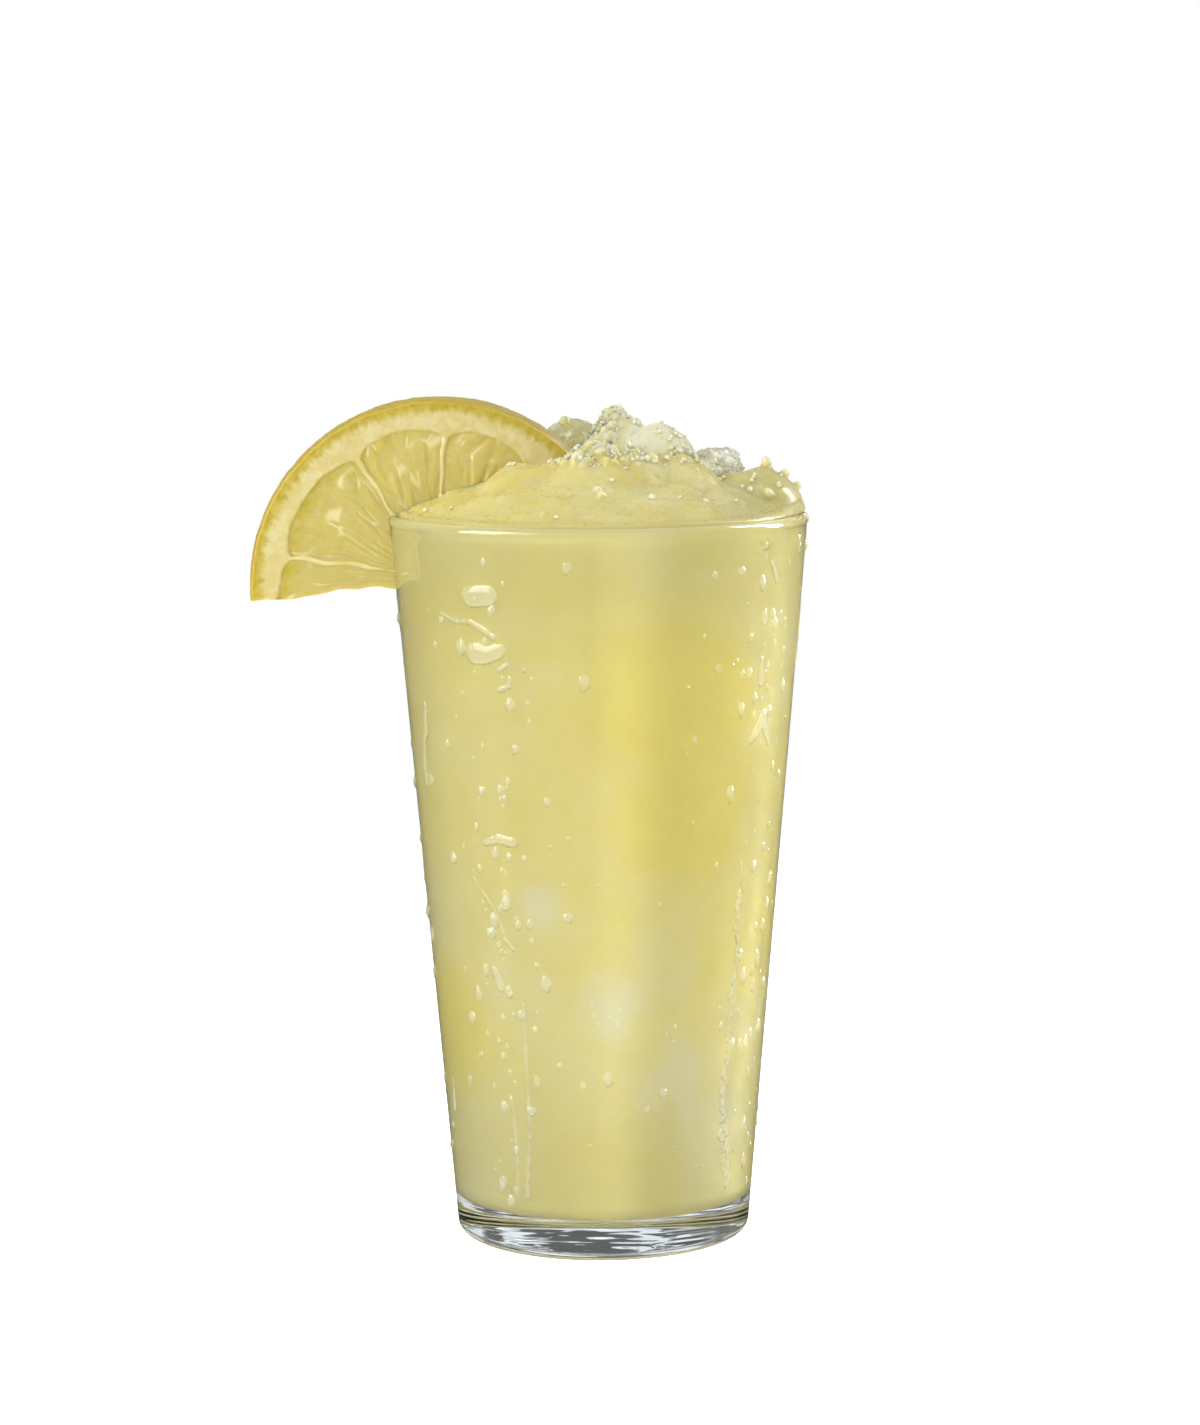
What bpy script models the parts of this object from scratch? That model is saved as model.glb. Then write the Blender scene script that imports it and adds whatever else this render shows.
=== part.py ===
"""Lemon granita heaped in a conical tumbler, with a half slice of lemon hung on the rim.

Metres, +Z up. The origin is on the tumbler's axis, in the plane it stands on.
The slice hangs over the rim on the -X side, with one cut face towards -Y.
"""

import math
import random
from typing import NamedTuple

import bmesh
import bpy
from mathutils import Matrix, Vector, noise

MM = 0.001

# Tumbler
GLASS_HEIGHT = 134.0 * MM
RIM_RADIUS = 38.5 * MM
WALL_RADIUS_TOP = 38.37 * MM
WALL_RADIUS_BASE = 26.92 * MM
WALL_THICKNESS_TOP = 2.1 * MM
WALL_THICKNESS_BASE = 2.6 * MM
BEAD_RADIUS = 1.15 * MM
BEAD_OUTER_END = -50
BEAD_INNER_END = 170
FLOOR_THICKNESS = 7.3 * MM
FLOOR_DOME = 0.5 * MM
BASE_CORNER_RADIUS = 2.5 * MM
INNER_CORNER_RADIUS = 3.0 * MM
INNER_CORNER_END = -85
SIDES = 64

# Gap that every piece keeps to its neighbour
CLEARANCE = 0.3 * MM

# Half slice of lemon, in its own frame: u along the straight cut, v up, w out of the front face
SLICE_RADIUS = 35.0 * MM
SLICE_THICKNESS = 8.0 * MM
SLICE_CENTRE_X = -29.1 * MM
SLICE_CENTRE_BELOW_RIM = 13.6 * MM
SLICE_ROLL = math.radians(4.0)
SLICE_YAW = math.radians(3.0)
CORE_ABOVE_CUT = 2.3 * MM
PEEL_ROUNDING = 0.9 * MM
PEEL_BUMP = 0.25 * MM
PEEL_BUMPS = 9.0
FLESH_SHARE = 0.85
RING_SHARES = (0.12, 0.3, 0.48, 0.64, 0.76, 0.82, FLESH_SHARE, 0.925)
PEEL_TILTS = [math.radians(a) for a in (80, 45, 0, -45, -80)]
SEGMENT_EDGES = [math.radians(a) for a in (-28.0, 10.0, 48.5, 83.0, 120.0, 168.0, 212.0, 250.0, 292.0)]
MEMBRANE_HALF_WIDTH = 0.45 * MM
MEMBRANE_FLANK = math.radians(2.6)
PULP_SINK = 0.45 * MM
PULP_SINK_WIDTH = 1.1 * MM
PULP_DOME = 0.5 * MM
PULP_DOME_WIDTH = 6.0 * MM
STEPS_PER_SEGMENT = 5
STEPS_ON_CUT = 10

# Heap of granita, with heights measured from the rim
MOUND_RISE = 8.6 * MM
MOUND_SHOULDER = 0.8
LUMP_BLEND = 5.0
HEAP_RINGS = 21
RING_CROWDING = 0.9
WALL_CONTACT_BELOW_RIM = 1.3 * MM
WALL_EDGE_OVER_RIM = 0.1 * MM
LIP_OVER_RIM = 0.4 * MM
LIP_REACH = 1.5 * MM
LIP_BULGE = 1.1
LIP_SIDE = math.radians(12)
EDGE_BAND = 0.12
EDGE_RISE = 0.5 * MM
EDGE_RISE_AT_LIP = 1.8 * MM
EDGE_RISE_BEHIND = 0.9 * MM
CRAG_SIZE = 4.8 * MM
CRAG_STRETCH = 0.6
CRAG_BEND = 0.3
CRAG_BENDS_PER_METRE = 150.0
CRAG_MIDDLE = 0.35
CRAG_HEIGHT_LOW = 0.9 * MM
CRAG_HEIGHT_TOP = 3.2 * MM
CRAG_START = 8.0 * MM
CRAG_FULL = 13.0 * MM
GRAIN_COUNT = 128
GRAIN_TRIES = 40
GRAINS_LOW_ON_HEAP = 0.3
GRAIN_RADIUS_MIN = 0.9 * MM
GRAIN_RADIUS_MAX = 1.9 * MM
GRAIN_SIZE_FALL = 0.7
GRAIN_SINK = 0.3
GRAIN_SPACING = 0.8
GRAIN_STRETCH = 1.25
SEED = 11
NOISE_SEED = 1796049511


class Lump(NamedTuple):
    """A clump of packed ice: the middle of its plan, its radius and its top above the rim."""

    x: float
    y: float
    radius: float
    top: float


PEAK = Lump(3.2 * MM, 8.0 * MM, 8.6 * MM, 17.6 * MM)
PALE_CLUMP = Lump(11.0 * MM, 0.5 * MM, 8.6 * MM, 15.4 * MM)
CLUMP_BEHIND_SLICE = Lump(-4.6 * MM, 10.5 * MM, 5.8 * MM, 15.9 * MM)
CLEAR_CLUMP = Lump(21.6 * MM, 5.0 * MM, 5.2 * MM, 11.6 * MM)
RIGHT_MOUND = Lump(29.2 * MM, -1.0 * MM, 8.8 * MM, 8.6 * MM)
FRONT_MOUND = Lump(0.8 * MM, -9.5 * MM, 14.0 * MM, 12.4 * MM)
FRONT_RIGHT_MOUND = Lump(14.5 * MM, -7.5 * MM, 8.6 * MM, 10.4 * MM)
FRONT_LEFT_MOUND = Lump(-14.5 * MM, -10.5 * MM, 8.5 * MM, 8.8 * MM)
BACK_LEFT_MOUND = Lump(-15.0 * MM, 16.0 * MM, 12.0 * MM, 9.8 * MM)
BACK_RIGHT_MOUND = Lump(13.0 * MM, 20.0 * MM, 11.0 * MM, 10.6 * MM)
LUMPS = (
    PEAK,
    PALE_CLUMP,
    CLUMP_BEHIND_SLICE,
    CLEAR_CLUMP,
    RIGHT_MOUND,
    FRONT_MOUND,
    FRONT_RIGHT_MOUND,
    FRONT_LEFT_MOUND,
    BACK_LEFT_MOUND,
    BACK_RIGHT_MOUND,
)


def clear_scene():
    for old in list(bpy.data.objects):
        bpy.data.objects.remove(old)


def make_material(name, colour, roughness, transmission=0.0):
    material = bpy.data.materials.new(name)
    material.use_nodes = True
    shader = material.node_tree.nodes["Principled BSDF"]
    shader.inputs["Base Color"].default_value = (*colour, 1.0)
    shader.inputs["Roughness"].default_value = roughness
    shader.inputs["Metallic"].default_value = 0.0
    shader.inputs["Transmission Weight"].default_value = transmission
    return material


def add_object(name, points, faces, material=None):
    mesh = bpy.data.meshes.new(name)
    mesh.from_pydata(points, [], faces)
    if material:
        mesh.materials.append(material)
    made = bpy.data.objects.new(name, mesh)
    bpy.context.scene.collection.objects.link(made)
    return made


def as_helper(made):
    made.hide_render = True
    made.display_type = "WIRE"
    return made


def shade(made, angle_degrees):
    made.data.shade_smooth()
    made.data.set_sharp_from_angle(angle=math.radians(angle_degrees))


def lerp(start, end, share):
    return start + (end - start) * share


def clamp(value):
    return max(0.0, min(1.0, value))


def arc(centre, radius, start_degrees, end_degrees, steps):
    """Points of an arc in the (radius, height) plane, both ends included."""
    points = []
    for step in range(steps + 1):
        angle = math.radians(lerp(start_degrees, end_degrees, step / steps))
        points.append((centre[0] + radius * math.cos(angle), centre[1] + radius * math.sin(angle)))
    return points


def ring_faces(first, second, sides):
    """Quads between two closed rings of points, given by the index of each ring's first point."""
    return [
        (first + side, first + (side + 1) % sides, second + (side + 1) % sides, second + side)
        for side in range(sides)
    ]


def cap_faces(ring, centre, sides, reverse=False):
    """Triangles from a closed ring of points to one point inside it."""
    order = [(ring + side, ring + (side + 1) % sides, centre) for side in range(sides)]
    return [tuple(reversed(face)) for face in order] if reverse else order


def turned(profile, closed=False):
    """Points and faces of a profile of (radius, height) turned about Z.

    The profile runs up the outside and down the inside. A closed profile is a
    loop clear of the axis, and any other starts on the axis.
    """
    points = []
    faces = []
    starts = []
    for radius, height in profile:
        starts.append(len(points))
        if radius == 0.0:
            points.append((0.0, 0.0, height))
            continue
        for side in range(SIDES):
            angle = 2 * math.pi * side / SIDES
            points.append((radius * math.cos(angle), radius * math.sin(angle), height))
    pairs = list(zip(range(len(profile)), range(1, len(profile))))
    if closed:
        pairs.append((len(profile) - 1, 0))
    for here, there in pairs:
        if profile[here][0] == 0.0:
            faces += cap_faces(starts[there], starts[here], SIDES, reverse=True)
        elif profile[there][0] == 0.0:
            faces += cap_faces(starts[here], starts[there], SIDES)
        else:
            faces += ring_faces(starts[here], starts[there], SIDES)
    return points, faces


def outer_radius(height):
    return lerp(WALL_RADIUS_BASE, WALL_RADIUS_TOP, height / GLASS_HEIGHT)


def inner_radius(height):
    share = (height - FLOOR_THICKNESS) / (GLASS_HEIGHT - FLOOR_THICKNESS)
    return outer_radius(height) - lerp(WALL_THICKNESS_BASE, WALL_THICKNESS_TOP, share)


BEAD_CENTRE = (RIM_RADIUS - BEAD_RADIUS, GLASS_HEIGHT - BEAD_RADIUS)
WALL_TOP = GLASS_HEIGHT - 2 * BEAD_RADIUS


def make_glass(material):
    """The tumbler: thick clear floor, straight tapering wall and a rounded bead at the rim."""
    corner_centre = (outer_radius(BASE_CORNER_RADIUS) - BASE_CORNER_RADIUS, BASE_CORNER_RADIUS)
    inner_corner_height = FLOOR_THICKNESS + INNER_CORNER_RADIUS
    inner_corner_centre = (inner_radius(inner_corner_height) - INNER_CORNER_RADIUS, inner_corner_height)
    profile = [(0.0, 0.0)]
    profile += arc(corner_centre, BASE_CORNER_RADIUS, -90, 0, 4)
    profile += [(outer_radius(WALL_TOP), WALL_TOP)]
    profile += arc(BEAD_CENTRE, BEAD_RADIUS, BEAD_OUTER_END, BEAD_INNER_END, 7)
    profile += [(inner_radius(WALL_TOP), WALL_TOP)]
    profile += arc(inner_corner_centre, INNER_CORNER_RADIUS, 0, INNER_CORNER_END, 3)
    profile += [(0.0, FLOOR_THICKNESS + FLOOR_DOME)]
    glass = add_object("glass", *turned(profile), material)
    shade(glass, 40)
    return glass


def make_wall_cutter():
    """A ring of the tumbler's wall and bead, grown by the clearance, that cuts the slit in the slice."""
    low = GLASS_HEIGHT - SLICE_RADIUS
    profile = [(inner_radius(low) - CLEARANCE, low), (outer_radius(low) + CLEARANCE, low)]
    profile += [(outer_radius(WALL_TOP) + CLEARANCE, WALL_TOP)]
    profile += arc(BEAD_CENTRE, BEAD_RADIUS + CLEARANCE, -30, 180, 8)
    profile += [(inner_radius(WALL_TOP) - CLEARANCE, WALL_TOP)]
    return as_helper(add_object("wall_cutter", *turned(profile, closed=True)))


def slice_matrix():
    """Stands the slice up at its place, turned about the rim where it hangs."""
    centre = Vector((SLICE_CENTRE_X, 0.0, GLASS_HEIGHT - SLICE_CENTRE_BELOW_RIM))
    stand_up = Matrix.Rotation(math.radians(90), 4, "X")
    roll = Matrix.Rotation(SLICE_ROLL, 4, "Z")
    yaw = Matrix.Rotation(-SLICE_YAW, 4, "Z")
    hang = Matrix.Translation((-WALL_RADIUS_TOP, 0.0, 0.0))
    return hang @ yaw @ hang.inverted() @ Matrix.Translation(centre) @ stand_up @ roll


def slice_reach(angle):
    """Distance from the core to the slice's edge at this angle, and whether that edge is the cut."""
    across = CORE_ABOVE_CUT * math.cos(angle)
    to_peel = math.sqrt(SLICE_RADIUS**2 - across**2) - CORE_ABOVE_CUT * math.sin(angle)
    if math.sin(angle) >= 0:
        return to_peel, False
    to_cut = -CORE_ABOVE_CUT / math.sin(angle)
    return min(to_peel, to_cut), to_cut < to_peel


def slice_angles():
    """Angles round the core: close together at a membrane, evenly spread over a segment."""
    corner = math.atan2(CORE_ABOVE_CUT, SLICE_RADIUS)
    low, high = -corner, math.pi + corner
    angles = [low, high]
    for edge, after in zip(SEGMENT_EDGES, SEGMENT_EDGES[1:]):
        angles += [edge - MEMBRANE_FLANK, edge, edge + MEMBRANE_FLANK]
        start, end = edge + MEMBRANE_FLANK, after - MEMBRANE_FLANK
        angles += [lerp(start, end, step / STEPS_PER_SEGMENT) for step in range(1, STEPS_PER_SEGMENT)]
    upper = sorted(a for a in angles if low <= a <= high)
    too_close = math.radians(0.4)
    upper = [a for a, after in zip(upper, upper[1:] + [math.inf]) if after - a > too_close]
    below = [lerp(high, 2 * math.pi + low, step / STEPS_ON_CUT) for step in range(1, STEPS_ON_CUT)]
    return upper + below


def face_relief(radius, angle, reach, cut):
    """Height of the cut face: rind and membranes level, the pulp sunk at its edges and domed inside."""
    to_membrane = min(radius * abs(math.sin(angle - edge)) for edge in SEGMENT_EDGES)
    to_rind = math.inf if cut else FLESH_SHARE * reach - radius
    inside = min(to_membrane, to_rind) - MEMBRANE_HALF_WIDTH
    dome = PULP_DOME * clamp(inside / PULP_DOME_WIDTH)
    return dome - PULP_SINK * clamp(inside / PULP_SINK_WIDTH)


def make_slice(material):
    """The half slice: two cut faces with their segments in relief, a rounded peel and a straight cut."""
    angles = slice_angles()
    reaches = [slice_reach(angle) for angle in angles]
    half = SLICE_THICKNESS / 2
    points = [(0.0, CORE_ABOVE_CUT, half)]
    starts = []

    def add_ring(place):
        """One ring round the core, with (radius, w) given by place for each angle, reach and cut."""
        starts.append(len(points))
        for angle, (reach, cut) in zip(angles, reaches):
            radius, w = place(angle, reach, cut)
            points.append((radius * math.cos(angle), CORE_ABOVE_CUT + radius * math.sin(angle), w))

    def face_place(share, side):
        def place(angle, reach, cut):
            return share * reach, side * (half + face_relief(share * reach, angle, reach, cut))

        return place

    def peel_place(tilt):
        def place(angle, reach, cut):
            pits = noise.noise(Vector((math.cos(angle), math.sin(angle), tilt)) * PEEL_BUMPS)
            inset = 0.0 if cut else PEEL_ROUNDING * (1 - math.cos(tilt)) - PEEL_BUMP * pits
            return reach - inset, half * math.sin(tilt)

        return place

    for share in RING_SHARES:
        add_ring(face_place(share, 1))
    for tilt in PEEL_TILTS:
        add_ring(peel_place(tilt))
    for share in reversed(RING_SHARES):
        add_ring(face_place(share, -1))
    points.append((0.0, CORE_ABOVE_CUT, -half))
    faces = cap_faces(starts[0], 0, len(angles))
    for here, there in zip(starts, starts[1:]):
        faces += ring_faces(there, here, len(angles))
    faces += cap_faces(starts[-1], len(points) - 1, len(angles), reverse=True)
    made = add_object("lemon_slice", points, faces, material)
    made.matrix_world = slice_matrix()
    return made


def make_slice_cutter():
    """A plain half disc, grown by the clearance, that clears the slice's place in the granita."""
    radius = SLICE_RADIUS + PEEL_BUMP + CLEARANCE
    half = SLICE_THICKNESS / 2 + PULP_DOME + CLEARANCE
    corner = -math.asin(CLEARANCE / radius)
    steps = 36
    outline = []
    for step in range(steps + 1):
        angle = lerp(corner, math.pi - corner, step / steps)
        outline.append((radius * math.cos(angle), radius * math.sin(angle)))
    count = len(outline)
    points = [(u, v, half) for u, v in outline] + [(u, v, -half) for u, v in outline]
    faces = [tuple(range(count)), tuple(reversed(range(count, 2 * count)))]
    faces += ring_faces(count, 0, count)
    cutter = add_object("slice_cutter", points, faces)
    cutter.matrix_world = slice_matrix()
    return as_helper(cutter)


def toward_lip(angle):
    """How much of the full lip the heap's edge has here: all of it on the right, none on the left."""
    return max(0.0, math.cos(angle - LIP_SIDE)) ** 2


def edge_rise(angle):
    """Height of the heap's edge above the rim."""
    behind = max(0.0, math.sin(angle))
    return EDGE_RISE + EDGE_RISE_AT_LIP * toward_lip(angle) + EDGE_RISE_BEHIND * behind


def heap_height(x, y):
    """Height of the heap above the rim: a smooth union of a low mound and its lumps."""
    inside_rim = max(0.0, 1 - (math.hypot(x, y) / inner_radius(GLASS_HEIGHT)) ** 2)
    total = (MOUND_RISE * inside_rim**MOUND_SHOULDER) ** LUMP_BLEND
    for lump in LUMPS:
        inside = 1 - ((x - lump.x) ** 2 + (y - lump.y) ** 2) / lump.radius**2
        total += (lump.top * math.sqrt(max(0.0, inside))) ** LUMP_BLEND
    return total ** (1 / LUMP_BLEND)


def craggy_height(x, y):
    """Height above the rim with the relief of packed ice: low bumps, and tall crags on the high clumps."""
    rise = heap_height(x, y)
    height = lerp(CRAG_HEIGHT_LOW, CRAG_HEIGHT_TOP, clamp((rise - CRAG_START) / (CRAG_FULL - CRAG_START)))
    place = Vector((x, y, CRAG_STRETCH * rise))
    cells = place / CRAG_SIZE + CRAG_BEND * noise.noise_vector(place * CRAG_BENDS_PER_METRE)
    nearest, second = noise.voronoi(cells)[0][:2]
    return rise + height * (clamp(second - nearest) - CRAG_MIDDLE)


def make_heap_core():
    """The granita's body: it fills the tumbler with the clearance all round and rises in the heap."""
    floor = FLOOR_THICKNESS + FLOOR_DOME + CLEARANCE
    corner = INNER_CORNER_RADIUS
    corner_centre = (inner_radius(floor + corner) - CLEARANCE - corner, floor + corner)
    contact = GLASS_HEIGHT - WALL_CONTACT_BELOW_RIM
    wall = inner_radius(contact) - CLEARANCE
    profile = [(0.0, floor)] + arc(corner_centre, corner, -90, 0, 3) + [(wall, contact)]
    points, faces = turned(profile)
    rows = [len(points) - SIDES]

    def add_row(place):
        """One ring of the heap, with (radius, height above the rim) given by place for each angle."""
        rows.append(len(points))
        for side in range(SIDES):
            angle = 2 * math.pi * side / SIDES
            radius, rise = place(angle)
            points.append((radius * math.cos(angle), radius * math.sin(angle), GLASS_HEIGHT + rise))

    def heap_place(share):
        def place(angle):
            radius = (wall + LIP_REACH * toward_lip(angle)) * share
            x, y = radius * math.cos(angle), radius * math.sin(angle)
            inside_edge = clamp((1 - share) / EDGE_BAND)
            rise = lerp(heap_height(x, y), craggy_height(x, y), inside_edge)
            return radius, max(rise, LIP_OVER_RIM + edge_rise(angle))

        return place

    def lip_place(bulge, rise_share):
        def place(angle):
            radius = wall + bulge * LIP_REACH * toward_lip(angle)
            return radius, LIP_OVER_RIM + rise_share * edge_rise(angle)

        return place

    add_row(lambda angle: (wall, WALL_EDGE_OVER_RIM))
    add_row(lip_place(1.0, 0.0))
    add_row(lip_place(LIP_BULGE, 0.6))
    for ring in range(1, HEAP_RINGS):
        add_row(heap_place((1 - ring / HEAP_RINGS) ** RING_CROWDING))
    for here, there in zip(rows, rows[1:]):
        faces += ring_faces(here, there, SIDES)
    points.append((0.0, 0.0, GLASS_HEIGHT + craggy_height(0.0, 0.0)))
    faces += cap_faces(rows[-1], len(points) - 1, SIDES)
    return points, faces


def clears_slice(place, reach):
    """True where a grain of this reach stays off the slice."""
    u, v, w = slice_matrix().inverted() @ place
    inside_plan = math.hypot(u, v) < SLICE_RADIUS + reach and v > -reach
    return not (inside_plan and abs(w) < SLICE_THICKNESS / 2 + reach)


def grain_spots(draw):
    """(place, radius) of the ice grains that stand out of the heap, the largest first."""
    spread = inner_radius(GLASS_HEIGHT) - CLEARANCE
    chosen = []
    for index in range(GRAIN_COUNT):
        radius = lerp(GRAIN_RADIUS_MAX, GRAIN_RADIUS_MIN, (index / GRAIN_COUNT) ** GRAIN_SIZE_FALL)
        for _ in range(GRAIN_TRIES):
            angle = draw.uniform(0, 2 * math.pi)
            out = (spread - radius) * math.sqrt(draw.uniform(0.0, 1.0))
            x, y = out * math.cos(angle), out * math.sin(angle)
            rise = craggy_height(x, y)
            lift = draw.uniform(-GRAIN_SINK, GRAIN_SINK) * radius
            place = Vector((x, y, GLASS_HEIGHT + rise + lift))
            wanted = rise > CRAG_START or draw.random() < GRAINS_LOW_ON_HEAP
            gaps = [(place - other).length - GRAIN_SPACING * (radius + size) for other, size in chosen]
            clear = clears_slice(place, GRAIN_STRETCH * radius + CLEARANCE)
            if wanted and clear and min(gaps, default=math.inf) > 0:
                chosen.append((place, radius))
                break
    return chosen


def make_grain(place, radius, draw, collection):
    """One rounded ice grain with few sides, squashed and turned at random."""
    mesh = bmesh.new()
    bmesh.ops.create_icosphere(mesh, subdivisions=1, radius=radius)
    sizes = [draw.uniform(1 / GRAIN_STRETCH, GRAIN_STRETCH) for _ in range(3)]
    squash = Matrix.Diagonal((*sizes, 1))
    turn = Matrix.Rotation(draw.uniform(0, math.pi), 4, Vector((draw.random(), draw.random(), 1.0)))
    bmesh.ops.transform(mesh, matrix=Matrix.Translation(place) @ turn @ squash, verts=mesh.verts)
    data = bpy.data.meshes.new("grain")
    mesh.to_mesh(data)
    mesh.free()
    collection.objects.link(bpy.data.objects.new("grain", data))


def apply_modifiers(made):
    """Swaps the object's mesh for the one its modifiers give."""
    graph = bpy.context.evaluated_depsgraph_get()
    made.data = bpy.data.meshes.new_from_object(made.evaluated_get(graph))
    made.modifiers.clear()


def add_difference(made, cutter):
    modifier = made.modifiers.new("Cut", "BOOLEAN")
    modifier.operation = "DIFFERENCE"
    modifier.solver = "EXACT"
    modifier.object = cutter


def fuse_grains(granita):
    """One union that joins every grain to the heap."""
    grains = bpy.data.collections.new("grains")
    bpy.context.scene.collection.children.link(grains)
    draw = random.Random(SEED)
    for place, radius in grain_spots(draw):
        make_grain(place, radius, draw, grains)
    modifier = granita.modifiers.new("Fuse", "BOOLEAN")
    modifier.operation = "UNION"
    modifier.solver = "EXACT"
    modifier.operand_type = "COLLECTION"
    modifier.collection = grains
    apply_modifiers(granita)
    for grain in list(grains.objects):
        bpy.data.objects.remove(grain)
    bpy.data.collections.remove(grains)


def linked_body(start):
    """Every vertex that edges join to this one."""
    body = {start}
    stack = [start]
    while stack:
        for edge in stack.pop().link_edges:
            fresh = set(edge.verts) - body
            body |= fresh
            stack += fresh
    return body


def keep_largest_body(made):
    """Drops the scraps of ice that the slice's place leaves loose, and any sealed hollow."""
    mesh = bmesh.new()
    mesh.from_mesh(made.data)
    waiting = set(mesh.verts)
    bodies = []
    while waiting:
        bodies.append(linked_body(next(iter(waiting))))
        waiting -= bodies[-1]
    largest = max(bodies, key=len)
    bmesh.ops.delete(mesh, geom=[v for v in mesh.verts if v not in largest], context="VERTS")
    mesh.to_mesh(made.data)
    mesh.free()


def make_granita(material, slice_cutter):
    """The heap with its grains fused on and the slice's place cut out of it."""
    granita = add_object("granita", *make_heap_core(), material)
    fuse_grains(granita)
    add_difference(granita, slice_cutter)
    apply_modifiers(granita)
    keep_largest_body(granita)
    return granita


def main():
    noise.seed_set(NOISE_SEED)
    clear_scene()
    clear_glass = make_material("clear_glass", (0.96, 0.98, 0.98), 0.03, transmission=1.0)
    lemon_ice = make_material("lemon_ice", (0.69, 0.59, 0.22), 0.3, transmission=0.2)
    lemon_flesh = make_material("lemon_flesh", (0.72, 0.56, 0.13), 0.35)
    make_glass(clear_glass)
    lemon = make_slice(lemon_flesh)
    add_difference(lemon, make_wall_cutter())
    shade(lemon, 50)
    make_granita(lemon_ice, make_slice_cutter())


main()
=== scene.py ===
"""Looks of the lemon granita: wet clear tumbler, packed lemon ice with its heap, half slice of lemon.

Metres, +Z up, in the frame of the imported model: the origin is on the tumbler's axis, in the plane
it stands on. The slice hangs over the rim on the -X side and the camera looks along +Y.
"""

import math
import random
from typing import NamedTuple

import bpy
import bmesh
import numpy as np
from mathutils import Matrix, Vector, noise


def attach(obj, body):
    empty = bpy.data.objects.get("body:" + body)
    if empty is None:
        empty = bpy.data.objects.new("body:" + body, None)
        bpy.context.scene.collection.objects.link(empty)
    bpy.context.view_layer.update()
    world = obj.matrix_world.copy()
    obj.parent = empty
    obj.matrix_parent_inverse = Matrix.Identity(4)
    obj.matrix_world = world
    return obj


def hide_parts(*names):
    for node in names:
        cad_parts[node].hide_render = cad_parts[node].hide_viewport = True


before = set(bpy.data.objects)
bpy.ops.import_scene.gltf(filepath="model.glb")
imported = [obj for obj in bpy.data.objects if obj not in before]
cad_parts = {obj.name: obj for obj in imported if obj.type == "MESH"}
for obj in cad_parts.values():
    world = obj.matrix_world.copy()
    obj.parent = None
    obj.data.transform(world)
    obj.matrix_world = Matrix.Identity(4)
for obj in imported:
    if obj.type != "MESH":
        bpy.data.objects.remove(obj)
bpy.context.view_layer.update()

MM = 0.001

# Tumbler
GLASS_HEIGHT = 134.0 * MM
RIM_RADIUS = 38.5 * MM
WALL_RADIUS_TOP = 38.37 * MM
WALL_RADIUS_BASE = 26.92 * MM
WALL_THICKNESS_TOP = 2.1 * MM
WALL_THICKNESS_BASE = 2.6 * MM
BEAD_RADIUS = 1.15 * MM
FLOOR_THICKNESS = 7.3 * MM
FLOOR_DOME = 0.5 * MM
BASE_CORNER_RADIUS = 2.5 * MM
INNER_CORNER_RADIUS = 3.0 * MM
GLASS_SIDES = 256

# Half slice of lemon, in its own frame: u along the straight cut, v up, w out of the front face
SLICE_RADIUS = 35.0 * MM
SLICE_THICKNESS = 8.0 * MM
SLICE_CENTRE_X = -29.1 * MM
SLICE_CENTRE_BELOW_RIM = 13.6 * MM
SLICE_ROLL = math.radians(4.0)
SLICE_YAW = math.radians(3.0)
CORE_ABOVE_CUT = 2.3 * MM
PEEL_ROUNDING = 0.9 * MM
SEGMENT_EDGES = [math.radians(a) for a in (-28.0, 10.0, 48.5, 83.0, 120.0, 168.0, 212.0, 250.0, 292.0)]
SLIT_CLEARANCE = -0.03 * MM

# Heap of granita, with heights measured from the rim
MOUND_RISE = 8.6 * MM
MOUND_SHOULDER = 0.8
LUMP_BLEND = 5.0
WALL_CONTACT_BELOW_RIM = 1.3 * MM
LIP_OVER_RIM = 0.25 * MM
LIP_REACH = 1.5 * MM
LIP_BULGE = 1.1
LIP_SIDE = math.radians(12)
LIP_NARROWING = 6
EDGE_RISE = 0.5 * MM
EDGE_RISE_AT_LIP = 1.8 * MM
EDGE_RISE_BEHIND = 0.9 * MM
CRAG_SIZE = 4.8 * MM
CRAG_STRETCH = 0.6
CRAG_BEND = 0.3
CRAG_BENDS_PER_METRE = 150.0
CRAG_MIDDLE = 0.35
CRAG_HEIGHT_LOW = 0.35 * MM
CRAG_HEIGHT_TOP = 2.4 * MM
CRAG_START = 8.0 * MM
CRAG_FULL = 13.0 * MM
SOFT_BUMP_SIZE = 5.5 * MM
SOFT_BUMP_HEIGHT = 1.0 * MM
WALL_OVERLAP = 0.08 * MM
SEED = 11
NOISE_SEED = 1796049511


class Lump(NamedTuple):
    """A clump of packed ice: the middle of its plan, its radius and its top above the rim."""

    x: float
    y: float
    radius: float
    top: float


PEAK = Lump(3.2 * MM, 8.0 * MM, 8.6 * MM, 17.6 * MM)
PALE_CLUMP = Lump(11.2 * MM, 0.5 * MM, 8.6 * MM, 16.4 * MM)
CLUMP_BEHIND_SLICE = Lump(-4.6 * MM, 10.5 * MM, 5.8 * MM, 16.5 * MM)
CLEAR_CLUMP = Lump(21.6 * MM, 5.0 * MM, 5.2 * MM, 11.6 * MM)
RIGHT_MOUND = Lump(28.9 * MM, -1.0 * MM, 8.8 * MM, 7.9 * MM)
FRONT_MOUND = Lump(0.8 * MM, -9.5 * MM, 14.0 * MM, 12.4 * MM)
FRONT_RIGHT_MOUND = Lump(14.5 * MM, -7.5 * MM, 8.6 * MM, 10.4 * MM)
FRONT_LEFT_MOUND = Lump(-14.5 * MM, -10.5 * MM, 8.5 * MM, 8.8 * MM)
BACK_LEFT_MOUND = Lump(-15.0 * MM, 16.0 * MM, 12.0 * MM, 9.8 * MM)
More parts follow.
